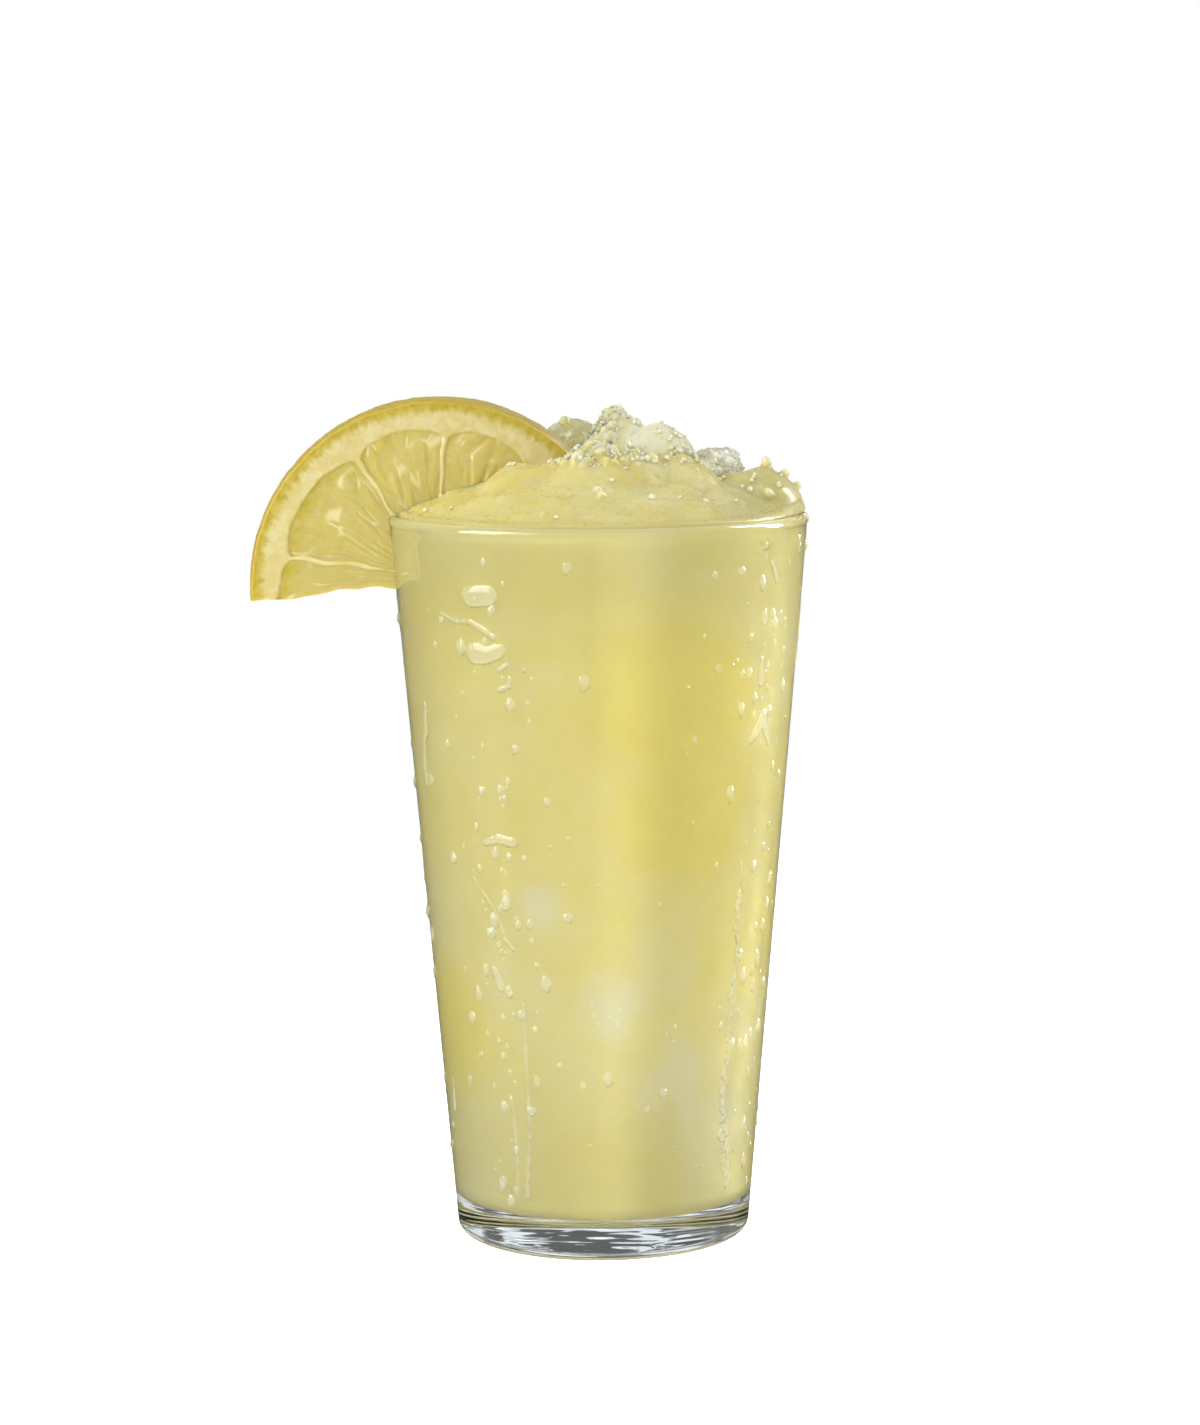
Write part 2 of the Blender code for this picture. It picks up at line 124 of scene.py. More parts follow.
BACK_RIGHT_MOUND = Lump(13.0 * MM, 20.0 * MM, 11.0 * MM, 10.6 * MM)
LUMPS = (
    PEAK,
    PALE_CLUMP,
    RIGHT_MOUND,
    FRONT_MOUND,
    FRONT_RIGHT_MOUND,
    FRONT_LEFT_MOUND,
    BACK_LEFT_MOUND,
    BACK_RIGHT_MOUND,
)


def lerp(start, end, share):
    return start + (end - start) * share


def clamp(value):
    return max(0.0, min(1.0, value))


def smooth(low, high, value):
    """0 at low, 1 at high and beyond, with a smooth rise between; low may be the larger."""
    share = clamp((value - low) / (high - low))
    return share * share * (3 - 2 * share)


def arc(centre, radius, start_degrees, end_degrees, steps):
    """Points of an arc in the (radius, height) plane, both ends included."""
    points = []
    for step in range(steps + 1):
        angle = math.radians(lerp(start_degrees, end_degrees, step / steps))
        points.append((centre[0] + radius * math.cos(angle), centre[1] + radius * math.sin(angle)))
    return points


def add_mesh(name, points, faces, material=None):
    mesh = bpy.data.meshes.new(name)
    mesh.from_pydata(points, [], faces)
    if material:
        mesh.materials.append(material)
    made = bpy.data.objects.new(name, mesh)
    bpy.context.scene.collection.objects.link(made)
    mesh.shade_smooth()
    return made


def as_piece(made, node):
    """Hangs the piece on the root body, which it moves with, and hides the model's part that it replaces."""
    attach(made, "root")
    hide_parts(node)
    return made


def ring_faces(first, second, sides):
    """Quads between two closed rings of points, given by the index of each ring's first point."""
    return [
        (first + side, first + (side + 1) % sides, second + (side + 1) % sides, second + side)
        for side in range(sides)
    ]


def cap_faces(ring, centre, sides, reverse=False):
    """Triangles from a closed ring of points to one point inside it."""
    order = [(ring + side, ring + (side + 1) % sides, centre) for side in range(sides)]
    return [tuple(reversed(face)) for face in order] if reverse else order


def turned(profile, sides, closed=False):
    """Points and faces of a profile of (radius, height) turned about Z.

    The profile runs up the outside and down the inside. A closed profile is a
    loop clear of the axis, and any other starts on the axis.
    """
    points = []
    faces = []
    starts = []
    for radius, height in profile:
        starts.append(len(points))
        if radius == 0.0:
            points.append((0.0, 0.0, height))
            continue
        for side in range(sides):
            angle = 2 * math.pi * side / sides
            points.append((radius * math.cos(angle), radius * math.sin(angle), height))
    pairs = list(zip(range(len(profile)), range(1, len(profile))))
    if closed:
        pairs.append((len(profile) - 1, 0))
    for here, there in pairs:
        if profile[here][0] == 0.0:
            faces += cap_faces(starts[there], starts[here], sides, reverse=True)
        elif profile[there][0] == 0.0:
            faces += cap_faces(starts[here], starts[there], sides)
        else:
            faces += ring_faces(starts[here], starts[there], sides)
    return points, faces


def outer_radius(height):
    return lerp(WALL_RADIUS_BASE, WALL_RADIUS_TOP, height / GLASS_HEIGHT)


def inner_radius(height):
    share = (height - FLOOR_THICKNESS) / (GLASS_HEIGHT - FLOOR_THICKNESS)
    return outer_radius(height) - lerp(WALL_THICKNESS_BASE, WALL_THICKNESS_TOP, share)


BEAD_CENTRE = (RIM_RADIUS - BEAD_RADIUS, GLASS_HEIGHT - BEAD_RADIUS)
WALL_TOP = GLASS_HEIGHT - 2 * BEAD_RADIUS


def apply_modifiers(made):
    """Swaps the object's mesh for the one its modifiers give."""
    graph = bpy.context.evaluated_depsgraph_get()
    old = made.data
    made.data = bpy.data.meshes.new_from_object(made.evaluated_get(graph))
    made.modifiers.clear()
    bpy.data.meshes.remove(old)


def cut(made, cutter):
    """Takes the cutter's volume out of the piece and drops the cutter."""
    modifier = made.modifiers.new("Cut", "BOOLEAN")
    modifier.operation = "DIFFERENCE"
    modifier.solver = "MANIFOLD"
    modifier.object = cutter
    apply_modifiers(made)
    bpy.data.objects.remove(cutter)


def store(made, name, values):
    """Keeps one number for each vertex under a name that the materials read."""
    attribute = made.data.attributes.new(name, "FLOAT", "POINT")
    attribute.data.foreach_set("value", np.array(values, dtype=np.float32))


# Materials


class Nodes:
    """A material's node tree, with short calls to add and join nodes."""

    def __init__(self, name):
        self.material = bpy.data.materials.new(name)
        self.material.use_nodes = True
        self.tree = self.material.node_tree
        self.shader = self.tree.nodes["Principled BSDF"]
        self.output = self.tree.nodes["Material Output"]

    def add(self, kind, **settings):
        node = self.tree.nodes.new(kind)
        for name, value in settings.items():
            setattr(node, name, value)
        return node

    def link(self, source, target):
        self.tree.links.new(source, target)

    def set(self, **values):
        """Sets the shader's own sockets, written with _ for a space."""
        for name, value in values.items():
            self.shader.inputs[name.replace("_", " ")].default_value = value

    def place(self, scale=(1.0, 1.0, 1.0)):
        """Object coordinates in metres, stretched by the scale."""
        coordinates = self.add("ShaderNodeTexCoord")
        mapping = self.add("ShaderNodeMapping")
        mapping.inputs["Scale"].default_value = scale
        self.link(coordinates.outputs["Object"], mapping.inputs["Vector"])
        return mapping.outputs["Vector"]

    def noise(self, place, size, detail=2.0, roughness=0.5, distortion=0.0):
        """Soft noise whose patches are about this size in metres, from 0 to 1."""
        node = self.add("ShaderNodeTexNoise")
        node.inputs["Scale"].default_value = 1 / size
        node.inputs["Detail"].default_value = detail
        node.inputs["Roughness"].default_value = roughness
        node.inputs["Distortion"].default_value = distortion
        self.link(place, node.inputs["Vector"])
        return node.outputs["Fac"]

    def cells(self, place, size, feature="F1", output="Distance"):
        node = self.add("ShaderNodeTexVoronoi", feature=feature)
        node.inputs["Scale"].default_value = 1 / size
        self.link(place, node.inputs["Vector"])
        return node.outputs[output]

    def ramp(self, value, low, high, low_out=0.0, high_out=1.0):
        node = self.add("ShaderNodeMapRange", interpolation_type="SMOOTHSTEP")
        node.inputs["From Min"].default_value = low
        node.inputs["From Max"].default_value = high
        node.inputs["To Min"].default_value = low_out
        node.inputs["To Max"].default_value = high_out
        self.link(value, node.inputs["Value"])
        return node.outputs["Result"]

    def mix(self, share, first, second):
        """Colours mixed by the share: each is a socket or a colour."""
        node = self.add("ShaderNodeMix", data_type="RGBA")
        self.link(share, node.inputs["Factor"])
        for colour, socket in ((first, node.inputs[6]), (second, node.inputs[7])):
            if isinstance(colour, tuple):
                socket.default_value = (*colour, 1.0)
            else:
                self.link(colour, socket)
        return node.outputs[2]

    def math(self, operation, first, second):
        node = self.add("ShaderNodeMath", operation=operation)
        for value, socket in ((first, node.inputs[0]), (second, node.inputs[1])):
            if isinstance(value, (int, float)):
                socket.default_value = value
            else:
                self.link(value, socket)
        return node.outputs[0]

    def stored(self, name):
        node = self.add("ShaderNodeAttribute", attribute_name=name)
        return node.outputs["Fac"]

    def colour(self, source):
        self.link(source, self.shader.inputs["Base Color"])

    def bump(self, height, distance, strength=1.0):
        node = self.add("ShaderNodeBump")
        node.inputs["Strength"].default_value = strength
        node.inputs["Distance"].default_value = distance
        self.link(height, node.inputs["Height"])
        self.link(node.outputs["Normal"], self.shader.inputs["Normal"])

    def clear_to_shadows(self, tint=(1.0, 1.0, 1.0)):
        """Lets lamps shine through the piece, as they do through thin clear glass."""
        path = self.add("ShaderNodeLightPath")
        clear = self.add("ShaderNodeBsdfTransparent")
        clear.inputs["Color"].default_value = (*tint, 1.0)
        mixer = self.add("ShaderNodeMixShader")
        self.link(path.outputs["Is Shadow Ray"], mixer.inputs["Fac"])
        self.link(self.shader.outputs["BSDF"], mixer.inputs[1])
        self.link(clear.outputs["BSDF"], mixer.inputs[2])
        self.link(mixer.outputs["Shader"], self.output.inputs["Surface"])


def glass_material():
    nodes = Nodes("clear_glass")
    nodes.set(Transmission_Weight=1.0, IOR=1.5)
    nodes.shader.inputs["Base Color"].default_value = (0.985, 0.995, 0.99, 1.0)
    haze = nodes.noise(nodes.place(), 9.0 * MM, detail=3.0)
    nodes.link(nodes.ramp(haze, 0.4, 0.75, 0.0, 0.035), nodes.shader.inputs["Roughness"])
    waves = nodes.noise(nodes.place((1.0, 1.0, 0.35)), 16.0 * MM, detail=1.0)
    nodes.bump(waves, 0.35 * MM, 0.35)
    nodes.clear_to_shadows((0.97, 0.985, 0.98))
    return nodes.material


# Painted shade: the olive colour painted at the lower edge of the drops and runs.
WATER_PAINTED_SHADE = (0.75, 0.73, 0.52)


def water_material():
    """Clear water, with painted shade: olive colour painted at the steep lower edge of each drop and run, standing
    in for how the ice behind looks there.
    """
    nodes = Nodes("water")
    nodes.set(Transmission_Weight=0.945, IOR=1.33, Roughness=0.0)
    nodes.colour(nodes.mix(nodes.ramp(nodes.stored("edge"), 0.1, 1.0), (1.0, 1.0, 1.0), WATER_PAINTED_SHADE))
    nodes.clear_to_shadows()
    return nodes.material


ICE_YELLOW = (0.77, 0.68, 0.24)
ICE_PALE = (0.76, 0.70, 0.38)
ICE_CLOUD = (0.76, 0.74, 0.58)
ICE_DEEP = (0.70, 0.605, 0.185)
# Painted shade for the bottom and the top of the packed ice.
ICE_PAINTED_SHADE = (0.61, 0.55, 0.24)
# White of the flecks in the packed ice: partly frost crystals, partly painted glints.
FROST_AND_GLINT_WHITE = (0.86, 0.84, 0.66)
HEAP_YELLOW = (0.56, 0.475, 0.165)
HEAP_PALE = (0.62, 0.55, 0.26)
HEAP_DEEP = (0.53, 0.44, 0.11)
HEAP_FROST = (0.63, 0.60, 0.42)


def fill_material():
    """The packed ice behind the glass: hazy pale yellow with soft clouds, white flecks that are partly painted
    glints, and painted shade at its bottom and top.
    """
    nodes = Nodes("packed_ice")
    place = nodes.place()
    fine = nodes.ramp(nodes.noise(place, 6.0 * MM, detail=4.0, roughness=0.6), 0.3, 0.75)
    clouds = nodes.stored("cloud")
    base = nodes.mix(nodes.stored("pale"), ICE_YELLOW, ICE_PALE)
    base = nodes.mix(nodes.math("MULTIPLY", fine, 0.25), base, ICE_DEEP)
    # White flecks, most in the clouds: partly frost crystals, partly painted glints.
    flecks = nodes.ramp(nodes.cells(place, 1.6 * MM), 0.0, 0.35, 1.0, 0.0)
    flecks = nodes.math("MULTIPLY", flecks, nodes.ramp(nodes.noise(place, 11.0 * MM), 0.5, 0.7))
    base = nodes.mix(nodes.math("MULTIPLY", clouds, 0.55), base, ICE_CLOUD)
    base = nodes.mix(nodes.math("MULTIPLY", flecks, nodes.ramp(clouds, 0.0, 0.6, 0.15, 0.8)), base, FROST_AND_GLINT_WHITE)
    # Painted shade: the packed ice darkened towards its bottom and towards the rim.
    level = nodes.add("ShaderNodeSeparateXYZ")
    nodes.link(place, level.inputs["Vector"])
    low = nodes.ramp(level.outputs["Z"], 12 * MM, 45 * MM, 0.5, 0.0)
    high = nodes.ramp(level.outputs["Z"], 105 * MM, 131 * MM, 0.0, 0.5)
    base = nodes.mix(nodes.math("ADD", low, high), base, ICE_PAINTED_SHADE)
    nodes.colour(base)
    nodes.set(Subsurface_Weight=1.0, Subsurface_Radius=(1.0, 0.85, 0.4), Subsurface_Scale=1.7 * MM)
    nodes.set(Roughness=0.6, IOR=1.31, Specular_IOR_Level=0.0)
    return nodes.material


def heap_material():
    """The open heap: wet granular ice, whiter where it is frosty, with painted shade on its right-hand side and just
    above the rim.
    """
    nodes = Nodes("heaped_ice")
    place = nodes.place()
    frost = nodes.stored("frost")
    broad = nodes.ramp(nodes.noise(place, 9.0 * MM, detail=3.0), 0.35, 0.65)
    base = nodes.mix(broad, HEAP_YELLOW, HEAP_PALE)
    grain = nodes.ramp(nodes.cells(place, 0.9 * MM), 0.1, 0.7)
    base = nodes.mix(nodes.math("MULTIPLY", grain, 0.3), base, HEAP_DEEP)
    along = nodes.add("ShaderNodeSeparateXYZ")
    nodes.link(place, along.inputs["Vector"])
    # Painted shade: the heap darkened towards its right-hand side.
    base = nodes.mix(nodes.ramp(along.outputs["X"], 19 * MM, 27 * MM, 0.0, 0.65), base, (0.44, 0.39, 0.15))
    base = nodes.mix(nodes.ramp(along.outputs["X"], 2 * MM, -14 * MM, 0.0, 0.5), base, (0.60, 0.50, 0.13))
    base = nodes.mix(frost, base, HEAP_FROST)
    # Painted shade: the heap darkened just above the rim.
    painted_shade_by_rim = nodes.ramp(along.outputs["Z"], GLASS_HEIGHT + 1.4 * MM, GLASS_HEIGHT + 0.3 * MM, 0.0, 0.7)
    base = nodes.mix(painted_shade_by_rim, base, (0.44, 0.37, 0.14))
    nodes.colour(base)
    nodes.set(Subsurface_Weight=1.0, Subsurface_Radius=(1.0, 0.85, 0.45), Subsurface_Scale=4.5 * MM)
    nodes.set(IOR=1.31, Specular_IOR_Level=0.3, Coat_Weight=0.05, Coat_Roughness=0.08, Coat_IOR=1.33)
    rough = nodes.noise(place, 1.2 * MM, detail=2.0)
    nodes.link(nodes.ramp(rough, 0.3, 0.7, 0.2, 0.55), nodes.shader.inputs["Roughness"])
    fine = nodes.noise(place, 0.45 * MM, detail=3.0, roughness=0.7)
    nodes.bump(fine, 0.08 * MM, 0.25)
    return nodes.material


def clear_ice_material():
    """Glassy lumps of ice with some frost inside."""
    nodes = Nodes("clear_ice")
    place = nodes.place()
    veins = nodes.ramp(nodes.noise(place, 2.2 * MM, detail=4.0, roughness=0.65), 0.45, 0.7)
    side = nodes.add("ShaderNodeSeparateXYZ")
    nodes.link(place, side.inputs["Vector"])
    right = nodes.ramp(side.outputs["X"], 5 * MM, 15 * MM)
    yellow = nodes.mix(veins, (0.76, 0.70, 0.40), (0.84, 0.80, 0.58))
    white = nodes.mix(veins, (0.74, 0.73, 0.62), (0.90, 0.89, 0.82))
    nodes.colour(nodes.mix(right, yellow, white))
    nodes.set(Subsurface_Weight=1.0, Subsurface_Radius=(1.0, 0.9, 0.6), Subsurface_Scale=3.0 * MM)
    nodes.set(IOR=1.31, Roughness=0.08)
    nodes.link(nodes.ramp(veins, 0.0, 1.0, 0.6, 0.2), nodes.shader.inputs["Transmission Weight"])
    nodes.bump(nodes.noise(place, 0.6 * MM, detail=3.0), 0.2 * MM, 0.5)
    nodes.clear_to_shadows((0.8, 0.78, 0.62))
    return nodes.material


def grain_material():
    nodes = Nodes("ice_grain")
    place = nodes.place()
    tone = nodes.ramp(nodes.noise(place, 1.5 * MM, detail=2.0), 0.35, 0.65)
    nodes.colour(nodes.mix(tone, (0.60, 0.55, 0.28), (0.72, 0.69, 0.52)))
    nodes.set(Subsurface_Weight=1.0, Subsurface_Radius=(1.0, 0.9, 0.6), Subsurface_Scale=1.5 * MM)
    nodes.set(IOR=1.31, Roughness=0.06, Specular_IOR_Level=0.6)
    nodes.bump(nodes.noise(place, 0.3 * MM, detail=2.0), 0.1 * MM, 0.4)
    nodes.clear_to_shadows((0.8, 0.78, 0.6))
    return nodes.material


def lemon_material():
    """Zest, pith, membranes and pulp on one body, told apart by the stored numbers, with painted highlight along the
    vesicle walls and painted light on the pulp near the glass.
    """
    nodes = Nodes("lemon_flesh")
    place = nodes.place()
    zest = nodes.stored("zest")
    pulp = nodes.stored("pulp")
    vesicle_wall_and_highlight = nodes.stored("vesicle_wall_and_highlight")
    depth = nodes.stored("depth")
    mottle = nodes.ramp(nodes.noise(place, 1.3 * MM, detail=3.0, roughness=0.6), 0.3, 0.7)
    zest_colour = nodes.mix(mottle, (0.435, 0.33, 0.026), (0.53, 0.43, 0.068))
    zest_colour = nodes.mix(nodes.stored("skin"), zest_colour, (0.43, 0.31, 0.02))
    pith_mottle = nodes.ramp(nodes.noise(place, 2.2 * MM, detail=4.0, roughness=0.6), 0.35, 0.7)
    pith_colour = nodes.mix(pith_mottle, (0.60, 0.50, 0.20), (0.66, 0.59, 0.31))
    inner = nodes.mix(depth, (0.52, 0.43, 0.12), (0.47, 0.37, 0.045))
    along = nodes.add("ShaderNodeSeparateXYZ")
    nodes.link(place, along.inputs["Vector"])
    # Painted light: the pulp made lighter towards the glass.
    painted_light_by_glass = nodes.ramp(along.outputs["X"], -50 * MM, -30 * MM, 0.0, 0.7)
    inner = nodes.mix(painted_light_by_glass, inner, (0.60, 0.50, 0.15))
    inner_mottle = nodes.ramp(nodes.noise(place, 1.8 * MM, detail=3.0), 0.3, 0.75)
    inner = nodes.mix(nodes.math("MULTIPLY", inner_mottle, 0.6), inner, (0.56, 0.47, 0.17))
    # Cream along the vesicle walls: partly their own colour, partly painted highlight.
    pulp_colour = nodes.mix(vesicle_wall_and_highlight, inner, (0.70, 0.63, 0.32))
    base = nodes.mix(zest, pith_colour, zest_colour)
    base = nodes.mix(pulp, base, pulp_colour)
    nodes.colour(base)
    nodes.set(Subsurface_Weight=1.0, Subsurface_Radius=(1.0, 0.75, 0.25), Subsurface_Scale=1.6 * MM)
    nodes.link(nodes.ramp(pulp, 0.0, 1.0, 0.5, 0.12), nodes.shader.inputs["Roughness"])
    pits = nodes.cells(place, 0.9 * MM)
    fine = nodes.noise(place, 0.5 * MM, detail=2.0)
    height = nodes.math("ADD", nodes.math("MULTIPLY", pits, 0.5), fine)
    nodes.bump(height, 0.12 * MM, 0.5)
    return nodes.material


# Tumbler

PUSH_UP = 0.35 * MM
RIPPLE_SIZE = 4.5 * MM
RIPPLE_HEIGHT = 0.14 * MM


def underside(x, y):
    """Height of the moulded underside: pushed up and rippled inside the ring that it stands on."""
    inside = 1 - smooth(18 * MM, 22 * MM, math.hypot(x, y))
    ripple = noise.noise(Vector((x, y, 0.0)) / RIPPLE_SIZE)
    return inside * (PUSH_UP + RIPPLE_HEIGHT * ripple)


def make_tumbler(material):
    corner_centre = (outer_radius(BASE_CORNER_RADIUS) - BASE_CORNER_RADIUS, BASE_CORNER_RADIUS)
    inner_corner_height = FLOOR_THICKNESS + INNER_CORNER_RADIUS
    inner_corner_centre = (inner_radius(inner_corner_height) - INNER_CORNER_RADIUS, inner_corner_height)
    profile = [(0.0, 0.0)] + [(ring * 1.5 * MM, 0.0) for ring in range(1, 16)]
    profile += arc(corner_centre, BASE_CORNER_RADIUS, -90, -5, 12)
    profile += [(outer_radius(height), height) for height in (6 * MM, 40 * MM, 80 * MM, 120 * MM)]
    profile += [(outer_radius(WALL_TOP - 1.5 * MM), WALL_TOP - 1.5 * MM)]
    profile += arc(BEAD_CENTRE, BEAD_RADIUS, -50, 170, 22)
    profile += [(inner_radius(height), height) for height in (WALL_TOP - 1.5 * MM, 120 * MM, 80 * MM, 40 * MM)]
    profile += arc(inner_corner_centre, INNER_CORNER_RADIUS, 0, -85, 10)
    profile += [(12.0 * MM, FLOOR_THICKNESS + 0.7 * FLOOR_DOME), (0.0, FLOOR_THICKNESS + FLOOR_DOME)]
    points, faces = turned(profile, GLASS_SIDES)
    points = [(x, y, z or underside(x, y)) for x, y, z in points]
    return as_piece(add_mesh("tumbler", points, faces, material), "glass")


# Granita

FILL_OVER_BEAD = 0.75 * MM


class Patch(NamedTuple):
    """A soft patch in the packed ice by the wall: its angle from the front, its height and its reach."""

    angle: float
    height: float
    reach: float

    def share(self, place):
        """1 in the middle of the patch, 0 beyond its reach."""
        radius = inner_radius(self.height)
        turn = math.radians(self.angle - 90)
        middle = Vector((radius * math.cos(turn), radius * math.sin(turn), self.height))
        return 1 - smooth(0.25, 1.0, (place - middle).length / self.reach)


CLOUDS = (
    Patch(46.0, 20.0 * MM, 15.0 * MM),
    Patch(32.0, 31.0 * MM, 12.0 * MM),
    Patch(4.0, 47.0 * MM, 8.5 * MM),
    Patch(-20.0, 66.0 * MM, 6.5 * MM),
    Patch(150.0, 88.0 * MM, 15.0 * MM),
    Patch(-130.0, 50.0 * MM, 14.0 * MM),
)
YELLOW_PATCHES = (
    Patch(25.0, 103.0 * MM, 20.0 * MM),
    Patch(28.0, 82.0 * MM, 18.0 * MM),
    Patch(-70.0, 40.0 * MM, 18.0 * MM),
    Patch(160.0, 45.0 * MM, 24.0 * MM),
)


def cloud_at(place):
    """How whitish the packed ice is here."""
    ragged = 0.65 + 0.8 * noise.fractal(place / (7.0 * MM), 0.6, 2.0, 5)
    named = max(patch.share(place) for patch in CLOUDS)
    loose = smooth(0.25, 0.6, noise.noise(place / (19.0 * MM)))
    return clamp(named * ragged * 1.2 + 0.4 * loose * ragged)


def paleness_at(place):
    """How pale the yellow of the packed ice is here."""
    broad = 0.55 + 0.45 * noise.noise(place / (26.0 * MM)) + 0.2 * noise.noise(place / (8.0 * MM))
    broad += 0.35 * smooth(70 * MM, 30 * MM, place.z)
    return clamp(broad - max(patch.share(place) for patch in YELLOW_PATCHES))


def make_fill(material):
    """The packed ice up to the rim, which reaches just into the wall and the floor of the tumbler."""
    height = FLOOR_THICKNESS + INNER_CORNER_RADIUS
    centre = (inner_radius(height) - INNER_CORNER_RADIUS, height)
    floor = FLOOR_THICKNESS + FLOOR_DOME - WALL_OVERLAP
    profile = [(0.0, floor), (12.0 * MM, FLOOR_THICKNESS + 0.7 * FLOOR_DOME - WALL_OVERLAP)]
    profile += arc(centre, INNER_CORNER_RADIUS + WALL_OVERLAP, -85, 0, 10)
    steps = 110
    for step in range(1, steps + 1):
        rise = lerp(height, WALL_TOP, step / steps)
        profile.append((inner_radius(rise) + WALL_OVERLAP, rise))
    edge = BEAD_CENTRE[0] - BEAD_RADIUS + WALL_OVERLAP
    profile += [(edge, BEAD_CENTRE[1]), (edge, BEAD_CENTRE[1] + FILL_OVER_BEAD), (0.0, GLASS_HEIGHT + 2.0 * MM)]
    fill = add_mesh("granita_fill", *turned(profile, GLASS_SIDES), material)
    store(fill, "cloud", [cloud_at(vertex.co) for vertex in fill.data.vertices])
    store(fill, "pale", [paleness_at(vertex.co) for vertex in fill.data.vertices])
    return as_piece(fill, "granita")


def toward_lip(angle):
    """How much of the full lip the heap's edge has here: all of it on the right, none on the left."""
    return max(0.0, math.cos(angle - LIP_SIDE)) ** LIP_NARROWING


def edge_rise(angle):
    """Height of the heap's edge above the rim."""
    behind = max(0.0, math.sin(angle))
    return EDGE_RISE + EDGE_RISE_AT_LIP * toward_lip(angle) + EDGE_RISE_BEHIND * behind


def heap_height(x, y):
    """Height of the heap above the rim: a smooth union of a low mound and its lumps."""
    inside_rim = max(0.0, 1 - (math.hypot(x, y) / inner_radius(GLASS_HEIGHT)) ** 2)
    total = (MOUND_RISE * inside_rim**MOUND_SHOULDER) ** LUMP_BLEND
    for lump in LUMPS:
        inside = 1 - ((x - lump.x) ** 2 + (y - lump.y) ** 2) / lump.radius**2
        total += (lump.top * math.sqrt(max(0.0, inside))) ** LUMP_BLEND
    return total ** (1 / LUMP_BLEND)


def craggy_height(x, y):
    """Height above the rim with the relief of packed ice: low bumps, and tall crags on the high clumps."""
    rise = heap_height(x, y)
    height = lerp(CRAG_HEIGHT_LOW, CRAG_HEIGHT_TOP, clamp((rise - CRAG_START) / (CRAG_FULL - CRAG_START)))
    height *= 1 - 0.75 * lump_share(Vector((x, y, 0.0)), PALE_CLUMP, 2.0 * MM)
    rise += SOFT_BUMP_HEIGHT * noise.noise(Vector((x, y, 7.0 * MM)) / SOFT_BUMP_SIZE)
    place = Vector((x, y, CRAG_STRETCH * rise))
    cells = place / CRAG_SIZE + CRAG_BEND * noise.noise_vector(place * CRAG_BENDS_PER_METRE)
    nearest, second = noise.voronoi(cells)[0][:2]
    return rise + height * (clamp(second - nearest) - CRAG_MIDDLE)


HEAP_SIDES = 360
HEAP_RINGS = 150
HEAP_VOXEL = 0.3 * MM
EDGE_BAND = 0.12
SHOULDER_REACH = 0.45 * MM


def make_heap_core():
    """The open heap's closed core, from just under the rim up to its craggy top."""
    wall = inner_radius(GLASS_HEIGHT - WALL_CONTACT_BELOW_RIM)
    low = GLASS_HEIGHT - 4.0 * MM
    points = [(0.0, 0.0, low)]
    rows = []

    def add_row(place):
        """One ring of the heap, with (radius, height above the rim) given by place for each angle."""
        rows.append(len(points))
        for side in range(HEAP_SIDES):
            angle = 2 * math.pi * side / HEAP_SIDES
            radius, rise = place(angle)
            points.append((radius * math.cos(angle), radius * math.sin(angle), GLASS_HEIGHT + rise))

    def heap_place(share):
        def place(angle):
            radius = (wall + LIP_REACH * toward_lip(angle)) * share
            x, y = radius * math.cos(angle), radius * math.sin(angle)
            inside_edge = clamp((1 - share) / EDGE_BAND)
            rise = lerp(heap_height(x, y), craggy_height(x, y), inside_edge)
            return radius, max(rise, LIP_OVER_RIM + edge_rise(angle))

        return place

    def lip_place(bulge, rise_share):
        def place(angle):
            ragged = 0.35 * MM * noise.noise(Vector((9 * math.cos(angle), 9 * math.sin(angle), 2 * rise_share)))
            radius = wall + bulge * LIP_REACH * toward_lip(angle) + rise_share * (ragged - 0.2 * MM)
            radius += (1 - rise_share) * SHOULDER_REACH
            return radius, LIP_OVER_RIM + rise_share * edge_rise(angle)

        return place

    add_row(lambda angle: (wall - 1.0 * MM, low - GLASS_HEIGHT))
    add_row(lambda angle: (wall - 0.3 * MM, -WALL_CONTACT_BELOW_RIM))
    add_row(lambda angle: (wall + SHOULDER_REACH, -0.3 * MM))
    for share in (0.0, 0.3, 0.6):
        add_row(lip_place(1.0 + 0.1 * math.sin(math.pi * share), share))
    for ring in range(1, HEAP_RINGS):
        add_row(heap_place((1 - ring / HEAP_RINGS) ** 0.9))
    faces = cap_faces(rows[0], 0, HEAP_SIDES, reverse=True)
    for here, there in zip(rows, rows[1:]):
        faces += ring_faces(here, there, HEAP_SIDES)
    points.append((0.0, 0.0, GLASS_HEIGHT + craggy_height(0.0, 0.0)))
    faces += cap_faces(rows[-1], len(points) - 1, HEAP_SIDES)
    return points, faces


def remesh(made, voxel):
    modifier = made.modifiers.new("Remesh", "REMESH")
    modifier.mode = "VOXEL"
    modifier.voxel_size = voxel
    modifier.use_smooth_shade = True
    apply_modifiers(made)


